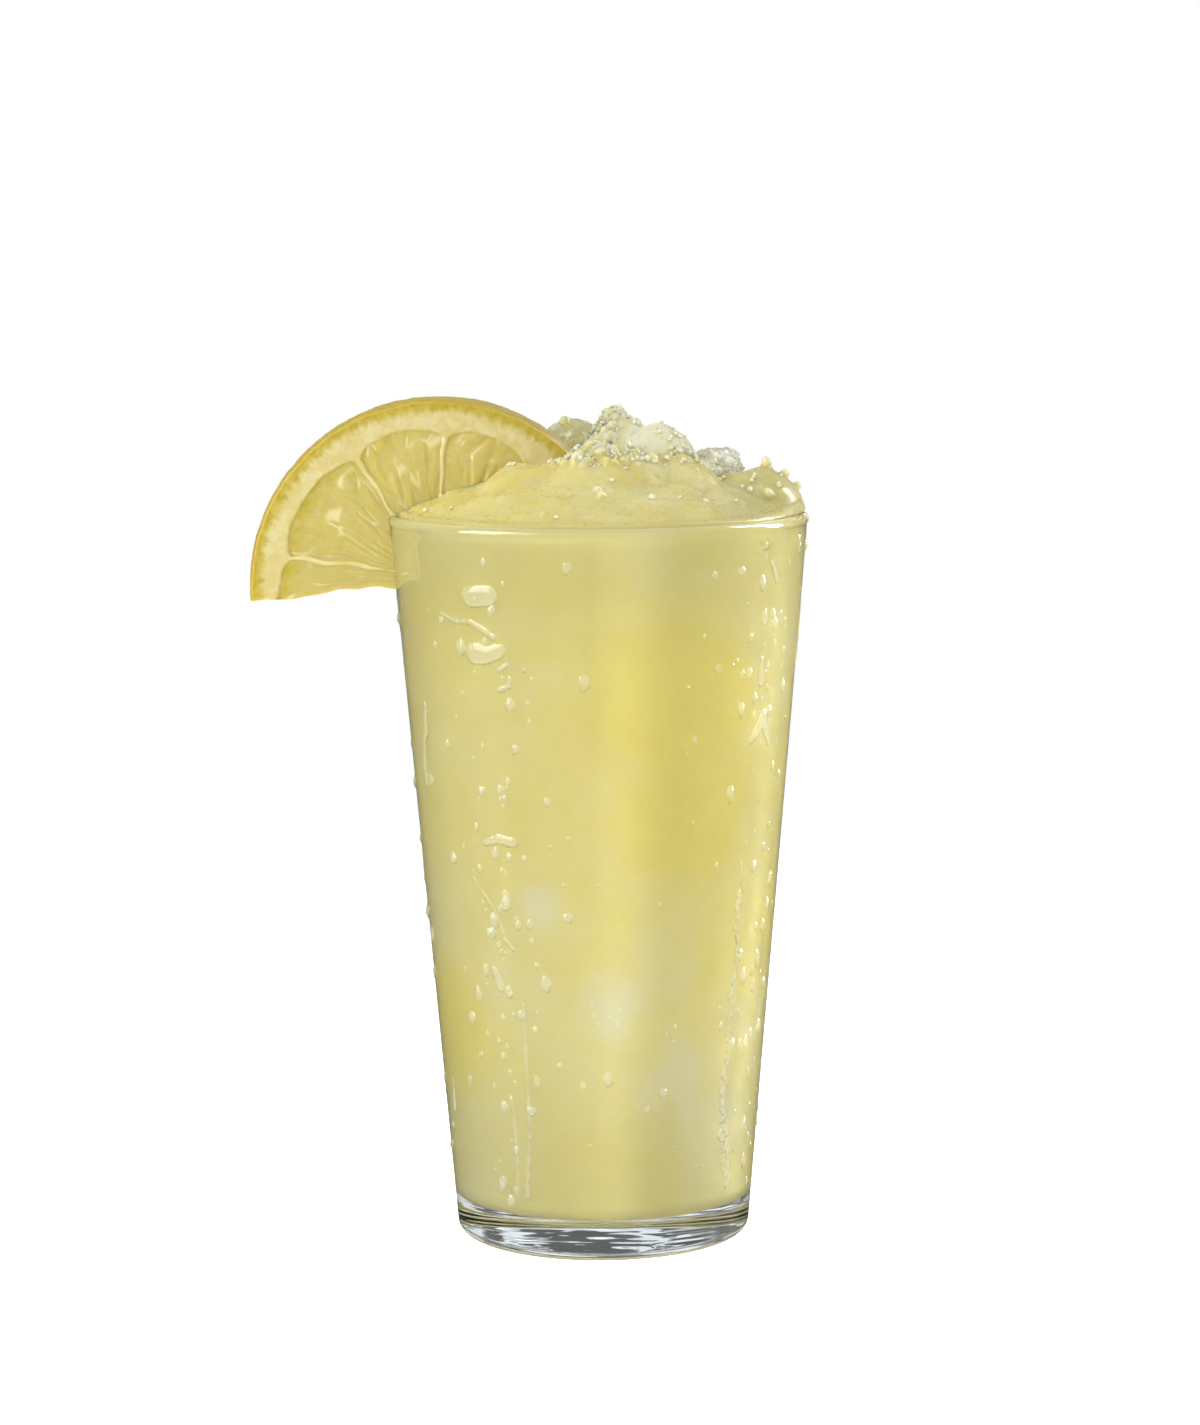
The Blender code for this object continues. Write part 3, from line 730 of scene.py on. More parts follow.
def pebble(place, radius, draw, squash, subdivisions, roughness):
    """Points and faces of one rounded ice grain, squashed, turned and dented at random."""
    mesh = bmesh.new()
    bmesh.ops.create_icosphere(mesh, subdivisions=subdivisions, radius=radius)
    sizes = [draw.uniform(1 / squash, squash) for _ in range(3)]
    turn = Matrix.Rotation(draw.uniform(0, math.pi), 3, Vector((draw.random(), draw.random(), 1.0)))
    offset = Vector((draw.random(), draw.random(), draw.random())) * 50
    points = []
    for vertex in mesh.verts:
        dent = 1 + roughness * noise.noise(vertex.co / radius * 1.7 + offset)
        shaped = Vector([c * s for c, s in zip(vertex.co * dent, sizes)])
        points.append(place + turn @ shaped)
    faces = [tuple(v.index for v in face.verts) for face in mesh.faces]
    mesh.free()
    return points, faces


def gather(parts):
    """Joins (points, faces) lists into one."""
    points = []
    faces = []
    for some_points, some_faces in parts:
        start = len(points)
        points += some_points
        faces += [tuple(start + i for i in face) for face in some_faces]
    return points, faces


def slice_matrix():
    """Stands the slice up at its place, turned about the rim where it hangs."""
    centre = Vector((SLICE_CENTRE_X, 0.0, GLASS_HEIGHT - SLICE_CENTRE_BELOW_RIM))
    stand_up = Matrix.Rotation(math.radians(90), 4, "X")
    roll = Matrix.Rotation(SLICE_ROLL, 4, "Z")
    yaw = Matrix.Rotation(-SLICE_YAW, 4, "Z")
    hang = Matrix.Translation((-WALL_RADIUS_TOP, 0.0, 0.0))
    return hang @ yaw @ hang.inverted() @ Matrix.Translation(centre) @ stand_up @ roll


INTO_SLICE = slice_matrix().inverted()


def slice_cutter():
    """A plain half disc just inside the slice, which clears the slice's place in the ice."""
    radius = SLICE_RADIUS - 0.1 * MM
    half = SLICE_THICKNESS / 2 - 0.1 * MM
    steps = 72
    outline = []
    for step in range(steps + 1):
        angle = math.pi * step / steps
        outline.append((radius * math.cos(angle), max(radius * math.sin(angle), 0.1 * MM)))
    count = len(outline)
    points = [(u, v, half) for u, v in outline] + [(u, v, -half) for u, v in outline]
    faces = [tuple(range(count)), tuple(reversed(range(count, 2 * count)))]
    faces += ring_faces(count, 0, count)
    cutter = add_mesh("slice_cutter", points, faces)
    cutter.matrix_world = slice_matrix()
    return cutter


def clears_slice(place, reach):
    """True where a grain of this reach stays off the slice."""
    u, v, w = INTO_SLICE @ place
    inside_plan = math.hypot(u, v) < SLICE_RADIUS + reach and v > -reach
    return not (inside_plan and abs(w) < SLICE_THICKNESS / 2 + reach)


def lump_share(place, lump, band):
    """1 well inside the lump's plan, 0 outside it."""
    out = math.hypot(place.x - lump.x, place.y - lump.y)
    return 1 - smooth(lump.radius - band, lump.radius, out)


def heap_grains(draw, count, smallest, largest, sink, wanted_at):
    """(place, radius) of grains on the heap, the largest first, none on the slice."""
    spread = inner_radius(GLASS_HEIGHT) - 0.6 * MM
    chosen = []
    for index in range(count):
        radius = lerp(largest, smallest, (index / count) ** 0.6)
        for _ in range(12):
            angle = draw.uniform(0, 2 * math.pi)
            out = (spread - radius) * math.sqrt(draw.random())
            x, y = out * math.cos(angle), out * math.sin(angle)
            rise = craggy_height(x, y)
            if draw.random() > wanted_at(x, y, rise):
                continue
            place = Vector((x, y, GLASS_HEIGHT + rise + sink * radius))
            if clears_slice(place, 1.3 * radius):
                chosen.append((place, radius))
                break
    return chosen


def frost_at(place):
    """How frosty the heap is here: most on the pale clump and the peak, little on the smooth mounds."""
    pale = 1.1 * lump_share(place, PALE_CLUMP, 3.0 * MM)
    peak = 0.7 * lump_share(place, PEAK, 4.0 * MM)
    high = smooth(7 * MM, 11 * MM, place.z - GLASS_HEIGHT)
    flecks = 0.3 * smooth(0.35, 0.6, noise.noise(place / (1.3 * MM)))
    standing = smooth(0.3 * MM, 1.1 * MM, place.z - GLASS_HEIGHT - heap_height(place.x, place.y))
    grains = 0.7 * standing * smooth(1.0 * MM, 3.0 * MM, place.z - GLASS_HEIGHT)
    return clamp(max(max(pale, peak) * high, grains) + 0.3 * noise.noise(place / (3.0 * MM)) + flecks)


class Bead(NamedTuple):
    """A round grain that stands out of the right-hand mound, its height measured from the rim."""

    x: float
    height: float
    radius: float


BEADS = (
    Bead(30.7 * MM, 9.0 * MM, 1.0 * MM),
    Bead(30.2 * MM, 8.0 * MM, 0.7 * MM),
    Bead(34.1 * MM, 7.0 * MM, 0.9 * MM),
    Bead(36.4 * MM, 4.8 * MM, 0.8 * MM),
)


def crest_share(x, y, rise):
    """How much a place belongs to the frosty crest: the high clumps but for the smooth pale one."""
    on_pale = lump_share(Vector((x, y, 0.0)), PALE_CLUMP, 2.0 * MM)
    return smooth(9 * MM, 13 * MM, rise) * (1 - on_pale)


def make_heap(material):
    draw = random.Random(SEED)
    core = make_heap_core()
    grains = [
        pebble(place, radius, draw, 1.2, 2, 0.2)
        for place, radius in heap_grains(
            draw, 300, 0.5 * MM, 1.15 * MM, -0.1, lambda x, y, rise: crest_share(x, y, rise) + 0.01
        )
    ]
    for bead in BEADS:
        place = Vector((bead.x, -1.0 * MM, GLASS_HEIGHT + bead.height))
        grains.append(pebble(place, bead.radius, draw, 1.1, 3, 0.15))
    heap = add_mesh("granita_heap", *gather([core] + grains), material)
    remesh(heap, HEAP_VOXEL)
    mesh = heap.data
    count = len(mesh.vertices)
    normals = np.empty(count * 3)
    mesh.vertices.foreach_get("normal", normals)
    normals = normals.reshape(-1, 3)
    moved = []
    for vertex, normal in zip(mesh.vertices, normals):
        place = vertex.co
        above = smooth(GLASS_HEIGHT, GLASS_HEIGHT + 1.5 * MM, place.z)
        rough = lerp(0.06, 1.0, smooth(9.5 * MM, 14 * MM, place.z - GLASS_HEIGHT))
        rough *= 1 - 0.6 * lump_share(place, PALE_CLUMP, 3.0 * MM)
        bumps = noise.noise(place / (1.4 * MM)) + 0.3 * noise.noise(place / (0.7 * MM))
        pits = 0.65 * (noise.voronoi(place / (1.7 * MM))[0][0] - 0.5)
        moved.append(place + Vector(normal) * above * rough * (0.16 * MM * bumps - 0.3 * MM * pits))
    mesh.vertices.foreach_set("co", np.array(moved, dtype=np.float32).ravel())
    cut(heap, slice_cutter())
    heap.data.shade_smooth()
    store(heap, "frost", [frost_at(vertex.co) for vertex in heap.data.vertices])
    return as_piece(heap, "granita")


BUBBLE_PLACE = Vector((-6.1 * MM, 7.4 * MM, GLASS_HEIGHT + 16.2 * MM))
BUBBLE_RADIUS = 1.0 * MM


def clear_lump(lump, draw, subdivisions, craggy):
    """A lump of clear ice with the lump's plan and top, sunk into the heap."""
    mesh = bmesh.new()
    bmesh.ops.create_icosphere(mesh, subdivisions=subdivisions, radius=1.0)
    offset = Vector((draw.random(), draw.random(), draw.random())) * 40
    half_height = 0.72 * lump.radius
    centre = Vector((lump.x, lump.y, GLASS_HEIGHT + lump.top - half_height))
    points = []
    for vertex in mesh.verts:
        way = vertex.co
        cells = noise.voronoi(way * 1.6 + offset)[0]
        dent = 1.02 - craggy * (0.5 - clamp(cells[1] - cells[0])) + 0.3 * craggy * noise.noise(way * 6 + offset)
        points.append(centre + Vector((way.x * lump.radius, way.y * lump.radius, way.z * half_height)) * dent)
    faces = [tuple(v.index for v in face.verts) for face in mesh.faces]
    mesh.free()
    return points, faces


def make_clear_ice(material):
    draw = random.Random(SEED + 1)
    parts = [clear_lump(CLUMP_BEHIND_SLICE, draw, 6, 0.08), clear_lump(CLEAR_CLUMP, draw, 6, 0.3)]
    parts.append(pebble(BUBBLE_PLACE, BUBBLE_RADIUS, draw, 1.05, 4, 0.05))
    ice = add_mesh("clear_ice", *gather(parts), material)
    cut(ice, slice_cutter())
    ice.data.shade_smooth()
    return as_piece(ice, "granita")


def make_loose_grains(material):
    draw = random.Random(SEED + 2)

    def wanted(x, y, rise):
        below_pale = 1 - smooth(2.5 * MM, 6 * MM, math.hypot(x - 17.0 * MM, y + 6.0 * MM))
        by_slice = 1 - smooth(0.5 * MM, 3.5 * MM, abs((INTO_SLICE @ Vector((x, y, GLASS_HEIGHT + rise))).z) - 4 * MM)
        return 0.004 + crest_share(x, y, rise) + 0.3 * below_pale + 0.03 * by_slice

    parts = [
        pebble(place, radius, draw, 1.35, 1 if radius < 0.4 * MM else 2, 0.4)
        for place, radius in heap_grains(draw, 1300, 0.2 * MM, 0.62 * MM, 0.3, wanted)
    ]
    grains = add_mesh("ice_grains", *gather(parts), material)
    return as_piece(grains, "granita")


# Lemon


ANGLES_ON_PEEL = 470
ANGLES_ON_CUT = 150
FACE_RINGS = 96
FLESH_RADIUS = 29.6 * MM
SEGMENT_ARCH = 2.6 * MM
CUT_WAVE = 0.9 * MM
CUT_WAVE_LENGTH = 5.0 * MM
CUT_IN = 0.25
CUT_RISE = 0.9 * MM
ZEST_DEPTH = 2.7 * MM


def slice_reach(angle):
    """Distance from the core to the slice's edge at this angle, and whether that edge is the cut."""
    across = CORE_ABOVE_CUT * math.cos(angle)
    to_peel = math.sqrt(SLICE_RADIUS**2 - across**2) - CORE_ABOVE_CUT * math.sin(angle)
    if math.sin(angle) >= 0:
        return to_peel, False
    to_cut = -CORE_ABOVE_CUT / math.sin(angle)
    return min(to_peel, to_cut), to_cut < to_peel


def cut_wave(u, v):
    """How far the slice is moved up here so that its cut is uneven, with the highest part beside the glass."""
    wander = CUT_WAVE * (CUT_IN - noise.noise(Vector((u / CUT_WAVE_LENGTH, 5.0, 0.0))))
    risen = CUT_RISE * smooth(-28 * MM, -17 * MM, u) * smooth(-4 * MM, -9 * MM, u)
    return (wander + risen) * smooth(4.0 * MM, 0.0, v)


def slice_angles():
    """Angles round the core: evenly spaced along the peel, and along the straight cut."""
    corner = math.atan2(CORE_ABOVE_CUT, SLICE_RADIUS)
    low, high = -corner, math.pi + corner
    angles = [lerp(low, high, step / ANGLES_ON_PEEL) for step in range(ANGLES_ON_PEEL + 1)]
    for step in range(1, ANGLES_ON_CUT):
        u = lerp(-SLICE_RADIUS, SLICE_RADIUS, step / ANGLES_ON_CUT)
        angles.append(math.atan2(-CORE_ABOVE_CUT, u) % (2 * math.pi))
    return angles


class Spot(NamedTuple):
    """What one point of the slice is: its relief and the five numbers that colour it."""

    relief: float
    zest: float
    pulp: float
    vesicle_wall_and_highlight: float
    depth: float
    skin: float = 0.0


def face_spot(u, v, radius, angle, side):
    """Zest, pith and segments of juicy vesicles that run from the core to the rind."""
    from_centre = math.hypot(u, v)
    wander = 0.35 * MM * noise.noise(Vector((u, v, 3.0 * side)) / (3.5 * MM))
    to_peel = SLICE_RADIUS - from_centre
    teeth = Vector((angle * 40, to_peel / (4 * MM), 3.0 * side))
    zest_edge = ZEST_DEPTH + 0.8 * MM * noise.noise(teeth) + 0.4 * MM * noise.noise(2.3 * teeth)
    zest = 1 - smooth(zest_edge - 1.1 * MM, zest_edge + 0.5 * MM, to_peel)
    index = 0
    waver = 0.05 * noise.noise(Vector((radius / (6.0 * MM), angle, 4.0 * side)))
    turned_by = (angle + waver - SEGMENT_EDGES[0]) % (2 * math.pi) + SEGMENT_EDGES[0]
    while index < len(SEGMENT_EDGES) - 2 and turned_by > SEGMENT_EDGES[index + 1]:
        index += 1
    start, end = SEGMENT_EDGES[index], SEGMENT_EDGES[index + 1]
    across = clamp((turned_by - start) / (end - start)) * 2 - 1
    arch = SEGMENT_ARCH * (1 - math.sqrt(max(0.0, 1 - abs(across) ** 2.6)))
    to_rind = FLESH_RADIUS - arch + wander - from_centre
    to_side = radius * min(abs(math.sin(turned_by - start)), abs(math.sin(end - turned_by)))
    wall_index = index if turned_by - start < end - turned_by else index + 1
    broken = noise.noise(Vector((radius / (5.0 * MM), wall_index * 3.7, side)))
    membrane = lerp(0.12 * MM, 0.4 * MM, clamp(radius / FLESH_RADIUS)) + 0.4 * wander + 0.42 * MM * broken
    inside = min(to_side - membrane, to_rind)
    pulp = smooth(-0.12 * MM, 0.25 * MM, inside)
    bend = 0.06 * noise.noise(Vector((u, v, 5.0)) / (6.0 * MM))
    cell_place = Vector((radius / (8.5 * MM), (turned_by + bend) / math.radians(7.5), index * 7.3 + 2.0 * side))
    nearest, second = noise.voronoi(cell_place)[0][:2]
    body = smooth(0.0, 0.75, second - nearest)
    fine = noise.noise(Vector((u, v, 20.0 * side)) / (1.4 * MM))
    relief = 0.36 * MM * (body - 1) + 0.5 * MM * clamp(inside / (5.0 * MM)) + 0.1 * MM * fine
    # Lighter lines along the vesicle walls: partly the membranes' own colour, partly painted highlight.
    ribs = 1 - smooth(0.0, 0.11, second - nearest)
    patch = smooth(0.0, 0.35, noise.noise(Vector((u, v, 9.0 + side)) / (3.2 * MM)))
    vesicle_wall_and_highlight = ribs * lerp(0.1, 1.0, patch)
    depth = smooth(10.0 * MM, 28.0 * MM, radius) * smooth(4.0 * MM, 0.5 * MM, max(to_rind, 0.0))
    low = 0.06 * MM * noise.noise(Vector((u, v, side)) / (1.0 * MM))
    skin = 1 - smooth(0.3 * MM, 1.7 * MM + 0.8 * MM * noise.noise(1.7 * teeth), to_peel)
    return Spot(pulp * relief + low, zest, pulp, vesicle_wall_and_highlight, depth, 0.6 * skin)


def make_lemon(material):
    angles = slice_angles()
    sides = len(angles)
    reaches = [slice_reach(angle) for angle in angles]
    half = SLICE_THICKNESS / 2
    points = []
    spots = []
    starts = []

    def add_face_ring(share, side):
        starts.append(len(points))
        for angle, (reach, _) in zip(angles, reaches):
            radius = share * reach
            u, v = radius * math.cos(angle), CORE_ABOVE_CUT + radius * math.sin(angle)
            spot = face_spot(u, v, radius, angle, side)
            points.append((u, v + cut_wave(u, v), side * (half + spot.relief)))
            spots.append(spot)

    def add_peel_ring(tilt):
        starts.append(len(points))
        for angle, (reach, on_cut) in zip(angles, reaches):
            way = Vector((math.cos(angle), math.sin(angle), 0.0))
            w = half * math.sin(tilt)
            pits = noise.voronoi(Vector((way.x, way.y, w / SLICE_RADIUS)) * 30)[0][0]
            broad = noise.noise(Vector((way.x, way.y, tilt)) * 9.0)
            inset = PEEL_ROUNDING * (1 - math.cos(tilt)) - 0.22 * MM * broad + 0.12 * MM * (0.5 - pits)
            if on_cut:
                inset = 0.15 * MM * noise.noise(Vector((way.x * reach, way.y * reach, w)) / (2.5 * MM))
            radius = reach - inset
            u, v = radius * math.cos(angle), CORE_ABOVE_CUT + radius * math.sin(angle)
            spot = face_spot(u, v, 0.985 * reach, angle, 1 if tilt > 0 else -1)
            points.append((u, v + cut_wave(u, v), w))
            spots.append(spot if on_cut else spot._replace(zest=1.0, skin=1.0))

    shares = [0.03 + 0.945 * ((ring + 1) / FACE_RINGS) ** 0.9 for ring in range(FACE_RINGS)]
    centre_spot = Spot(0.0, 0.0, 0.0, 0.0, 0.0)
    points.append((0.0, CORE_ABOVE_CUT, half))
    spots.append(centre_spot)
    for share in shares:
        add_face_ring(share, 1)
    for step in range(17):
        add_peel_ring(math.radians(lerp(80, -80, step / 16)))
    for share in reversed(shares):
        add_face_ring(share, -1)
    points.append((0.0, CORE_ABOVE_CUT, -half))
    spots.append(centre_spot)
    faces = cap_faces(starts[0], 0, sides)
    for here, there in zip(starts, starts[1:]):
        faces += ring_faces(there, here, sides)
    faces += cap_faces(starts[-1], len(points) - 1, sides, reverse=True)
    lemon = add_mesh("lemon_half_slice", points, faces, material)
    for name in ("zest", "pulp", "vesicle_wall_and_highlight", "depth", "skin"):
        store(lemon, name, [getattr(spot, name) for spot in spots])
    lemon.data.transform(slice_matrix())
    cut(lemon, slit_cutter())
    lemon.data.shade_smooth()
    return as_piece(lemon, "lemon_slice")


def slit_cutter():
    """A ring of the tumbler's wall and bead, grown a little, that cuts the slit in the slice."""
    low = GLASS_HEIGHT - SLICE_RADIUS
    profile = [(inner_radius(low) - SLIT_CLEARANCE, low), (outer_radius(low) + SLIT_CLEARANCE, low)]
    profile += [(outer_radius(WALL_TOP) + SLIT_CLEARANCE, WALL_TOP)]
    profile += arc(BEAD_CENTRE, BEAD_RADIUS + SLIT_CLEARANCE, -30, 180, 14)
    profile += [(inner_radius(WALL_TOP) - SLIT_CLEARANCE, WALL_TOP)]
    return add_mesh("slit_cutter", *turned(profile, GLASS_SIDES, closed=True))


# Condensation


def wall_point(angle, height, lift):
    """A point on the tumbler's outside at this angle and height, lifted off it."""
    radius = outer_radius(height) + lift
    return Vector((radius * math.cos(angle), radius * math.sin(angle), height))


DROP_SIDES = 16
DROP_RINGS = 5
DROP_SINK = 0.03 * MM


def drop(angle, height, width, length, swell, draw):
    """Points and faces of one water drop on the wall: an uneven dome, fuller towards its foot."""
    lobes = [(draw.uniform(0.0, 0.12), draw.uniform(0, 2 * math.pi)) for _ in range(3)]
    around = outer_radius(height)
    points = [wall_point(angle, height - 0.08 * length, swell)]
    starts = []
    for ring in range(1, DROP_RINGS + 1):
        share = math.sin(0.5 * math.pi * ring / DROP_RINGS)
        starts.append(len(points))
        for side in range(DROP_SIDES):
            turn = 2 * math.pi * side / DROP_SIDES
            edge = 1 + sum(size * math.cos((n + 2) * turn + phase) for n, (size, phase) in enumerate(lobes))
            across = 0.5 * width * share * edge * math.cos(turn)
            up = 0.5 * length * share * edge * math.sin(turn)
            fuller = 1 - 0.25 * math.sin(turn) * share
            lift = (swell + DROP_SINK) * (1 - share**2) ** 0.85 * fuller - DROP_SINK
            points.append(wall_point(angle + across / around, height + up, lift))
    points.append(wall_point(angle, height, -DROP_SINK))
    faces = cap_faces(starts[0], 0, DROP_SIDES, reverse=False)
    for here, there in zip(starts, starts[1:]):
        faces += ring_faces(there, here, DROP_SIDES)
    faces += cap_faces(starts[-1], len(points) - 1, DROP_SIDES, reverse=True)
    return points, faces


def painted_shade_below(up):
    """How much painted shade, the olive colour, a drop's edge has here: most below, little above; up is the sine of
    the way.
    """
    return smooth(0.7, -0.8, up)


def drop_density(turn):
    """Share of the drops that stay on at this angle from the front: few in the middle, most at its sides."""
    off = abs(math.degrees(turn))
    left_or_right = 34.0 if turn < 0 else 60.0
    strip = math.exp(-(((off - left_or_right) / 14.0) ** 2))
    return 0.05 + 0.95 * max(strip, smooth(70.0, 110.0, off) * 0.6)


def make_drops(material):
    draw = random.Random(SEED + 3)
    parts = []
    for _ in range(1500):
        turn = draw.uniform(-math.pi, math.pi)
        height = draw.uniform(9 * MM, 130 * MM)
        width = lerp(0.6 * MM, 2.3 * MM, draw.random() ** 2)
        length = width * draw.uniform(1.0, 1.7)
        made = drop(turn - math.pi / 2, height, width, length, 0.2 * width, draw)
        if draw.random() < drop_density(turn):
            parts.append(made)
    drops = add_mesh("water_drops", *gather(parts), material)
    # Painted shade at each drop's foot, most on its lower side, stored as edge for the water's olive colour.
    foot = [0.0]
    for ring in range(1, DROP_RINGS + 1):
        share = math.sin(0.5 * math.pi * ring / DROP_RINGS) ** 2
        foot += [share * painted_shade_below(math.sin(2 * math.pi * side / DROP_SIDES)) for side in range(DROP_SIDES)]
    store(drops, "edge", (foot + [0.0]) * len(parts))
    drops.data.set_sharp_from_angle(angle=FOOT_ANGLE)
    return as_piece(drops, "glass")


class Blob(NamedTuple):
    """A round patch of water on the wall: its angle from the front, its height and its radius."""

    turn: float
    height: float
    radius: float


class Run(NamedTuple):
    """Water drawn out along (degrees from the front, mm high) points, with its width in mm at both ends."""

    points: tuple
    start: float
    end: float
    ragged: float = 0.0


RUNS = (
    Run(((-38.0, 121.6), (-31.2, 121.9)), 3.6, 3.6),
    Run(((-49.6, 118.2), (-43.9, 116.8), (-38.3, 117.0), (-33.6, 115.6), (-30.4, 114.4)), 0.8, 1.4),
    Run(((-37.0, 111.4), (-33.4, 111.2), (-28.6, 112.3)), 3.9, 2.4),
    Run(((-29.4, 108.6), (-26.4, 109.9)), 1.3, 1.0),
    Run(((-29.4, 105.1), (-26.6, 105.8), (-26.0, 107.4)), 1.2, 1.0),
    Run(((-38.1, 77.0), (-33.0, 78.0), (-28.1, 77.5)), 1.4, 2.2),
    Run(((-44.2, 75.0), (-43.9, 70.2), (-38.9, 66.9), (-34.9, 63.4), (-32.7, 59.5), (-29.5, 57.8)), 0.5, 1.0),
    Run(((-31.6, 68.2), (-31.4, 66.0)), 1.2, 2.3),
    Run(((-38.0, 53.8), (-35.0, 50.5)), 1.2, 2.0),
    Run(((49.8, 131.0), (52.3, 129.6), (47.6, 128.8)), 1.5, 0.8),
    Run(((54.8, 126.6), (56.8, 124.7), (58.8, 123.0)), 0.9, 1.6),
    Run(((53.3, 117.6), (53.3, 116.2)), 1.7, 2.2),
    Run(((62.4, 117.0), (62.6, 115.4)), 1.4, 1.8),
    Run(((53.3, 109.4), (54.0, 105.0)), 1.1, 2.3),
    Run(((56.6, 98.8), (52.8, 95.8), (50.6, 94.4)), 2.8, 1.2),
    Run(((57.0, 97.4), (60.7, 93.2)), 2.2, 1.2),
    Run(((43.5, 103.3), (44.3, 100.2)), 0.5, 0.9),
    Run(((49.6, 72.5), (51.1, 64.4), (49.2, 60.5), (51.1, 56.1), (49.4, 47.9)), 0.8, 1.3, 0.7),
    Run(((49.4, 47.9), (49.4, 39.7), (48.9, 33.3), (48.5, 27.0), (51.4, 18.2), (54.3, 11.7)), 1.2, 1.7, 1.0),
    Run(((-26.9, 48.0), (-27.1, 23.0), (-29.6, 11.4)), 0.8, 1.0),
    Run(((-33.8, 30.0), (-33.0, 17.5), (-33.5, 11.4)), 0.8, 0.9),
)
HIDDEN_RUNS = 26
WATER_STEP = 0.2 * MM
WATER_BLEND = 0.16 * MM
WATER_SKIN = 0.22 * MM
WATER_SLOPE = 0.55
WATER_DEPTH = 0.75 * MM
FOOT_ANGLE = math.radians(50)


def hidden_runs(draw):
    """Runs like the named ones for the sides and back of the tumbler."""
    runs = []
    for _ in range(HIDDEN_RUNS):
        turn = draw.uniform(80.0, 300.0)
        height = draw.uniform(30.0, 128.0)
        points = [(turn, height)]
        for _ in range(draw.randint(1, 4)):
            turn += draw.uniform(-3.0, 3.0)
            height -= draw.uniform(1.0, 6.0)
            points.append((turn, max(height, 10.0)))
        runs.append(Run(tuple(points), draw.uniform(0.5, 1.6), draw.uniform(0.9, 2.6)))
    return runs


def run_blobs(run, draw):
    """Round patches close together along the run, uneven in width."""
    blobs = []
    legs = list(zip(run.points, run.points[1:]))
    for number, (here, there) in enumerate(legs):
        around = math.radians(there[0] - here[0]) * outer_radius(here[1] * MM)
        length = math.hypot(around, (there[1] - here[1]) * MM)
        steps = max(1, round(length / (0.35 * MM)))
        for step in range(steps + 1):
            share = step / steps
            width = lerp(run.start, run.end, (number + share) / len(legs)) * MM
            height = lerp(here[1], there[1], share) * MM
            stray = draw.uniform(-1, 1) * lerp(0.1, 0.8, run.ragged) * width / WALL_RADIUS_TOP
            turn = math.radians(lerp(here[0], there[0], share)) + stray
            blobs.append(Blob(turn, height, 0.5 * width * draw.uniform(lerp(0.75, 0.4, run.ragged), 1.15)))
    return blobs


def water_level(blobs):
    """Signed level of the water on a grid over the wall, above 0 where the wall is wet."""
    low, high = 8 * MM, WALL_TOP - 1 * MM
    heights = np.arange(low, high, WATER_STEP)
    columns = round(2 * math.pi * WALL_RADIUS_TOP / WATER_STEP)
    turns = np.arange(columns) * 2 * math.pi / columns - math.pi
    total = np.zeros((len(heights), columns))
    for blob in blobs:
        reach = blob.radius + 0.8 * MM
        around = outer_radius(blob.height)
        rows = np.nonzero(np.abs(heights - blob.height) < reach)[0]
        if not len(rows):
            continue
        middle = round((blob.turn + math.pi) / (2 * math.pi) * columns)
        half = math.ceil(reach / around / (2 * math.pi) * columns)
        spread = np.arange(middle - half, middle + half + 1)
        offset = (spread - (blob.turn + math.pi) / (2 * math.pi) * columns) * 2 * math.pi / columns * around
        rise = heights[rows] - blob.height
        level = (blob.radius**2 - offset[None, :] ** 2 - rise[:, None] ** 2) / (2 * blob.radius)
        window = np.ix_(rows, spread % columns)
        total[window] += np.exp(np.maximum(level, -1 * MM) / WATER_BLEND)
    level = WATER_BLEND * np.log(np.maximum(total, 1e-9)) - WATER_SKIN
    return heights, turns, level


def water_mesh(blobs):
    """One closed body for each wet patch: the water's face, a back just inside the glass and a thin foot.

    Also gives how much painted shade each point has, from 0 to 1: most near the water's lower edge.
    """
    heights, turns, level = water_level(blobs)
    columns = len(turns)
    wet = level > 0
    beside = np.roll(wet, -1, axis=1)
    cells = (wet | beside)[:-1] | (wet | beside)[1:]
    for _ in range(4):
        right = np.roll(cells, -1, axis=1)
        falling = cells[:-1] & right[1:] & ~right[:-1] & ~cells[1:]
        rising = right[:-1] & cells[1:] & ~cells[:-1] & ~right[1:]
        cells[:-1] |= rising
        cells[1:] |= falling
    lift = np.where(level > 0, WATER_DEPTH * (1 - np.exp(-WATER_SLOPE * level / WATER_DEPTH)), WATER_SLOPE * level)
    lift = np.maximum(lift, -DROP_SINK)
    points = []
    painted_shade = []
    numbers = {}

    def corner(row, column, back):
        key = (row, column % columns, back)
        if key not in numbers:
            numbers[key] = len(points)
            off = -3 * DROP_SINK if back else lift[row, column % columns]
            points.append(wall_point(turns[column % columns] - math.pi / 2, heights[row], off))
            here = level[row, column % columns]
            over = level[min(row + 1, len(heights) - 1), column % columns]
            painted_shade.append((1 - smooth(0.0, 0.35 * MM, here)) * painted_shade_below((here - over) / WATER_STEP))
        return numbers[key]

    faces = []
    for row, column in zip(*np.nonzero(cells)):
        row, column = int(row), int(column)
        around = ((row, column), (row, column + 1), (row + 1, column + 1), (row + 1, column))
        faces.append(tuple(corner(*spot, False) for spot in around))
        faces.append(tuple(corner(*spot, True) for spot in reversed(around)))
        neighbours = ((row - 1, column), (row, column + 1), (row + 1, column), (row, column - 1))
        for side, (next_row, next_column) in enumerate(neighbours):
            inside = 0 <= next_row < cells.shape[0] and cells[next_row, next_column % columns]
            if not inside:
                first, second = around[side], around[(side + 1) % 4]
                faces.append((corner(*second, False), corner(*first, False), corner(*first, True), corner(*second, True)))
    return points, faces, painted_shade


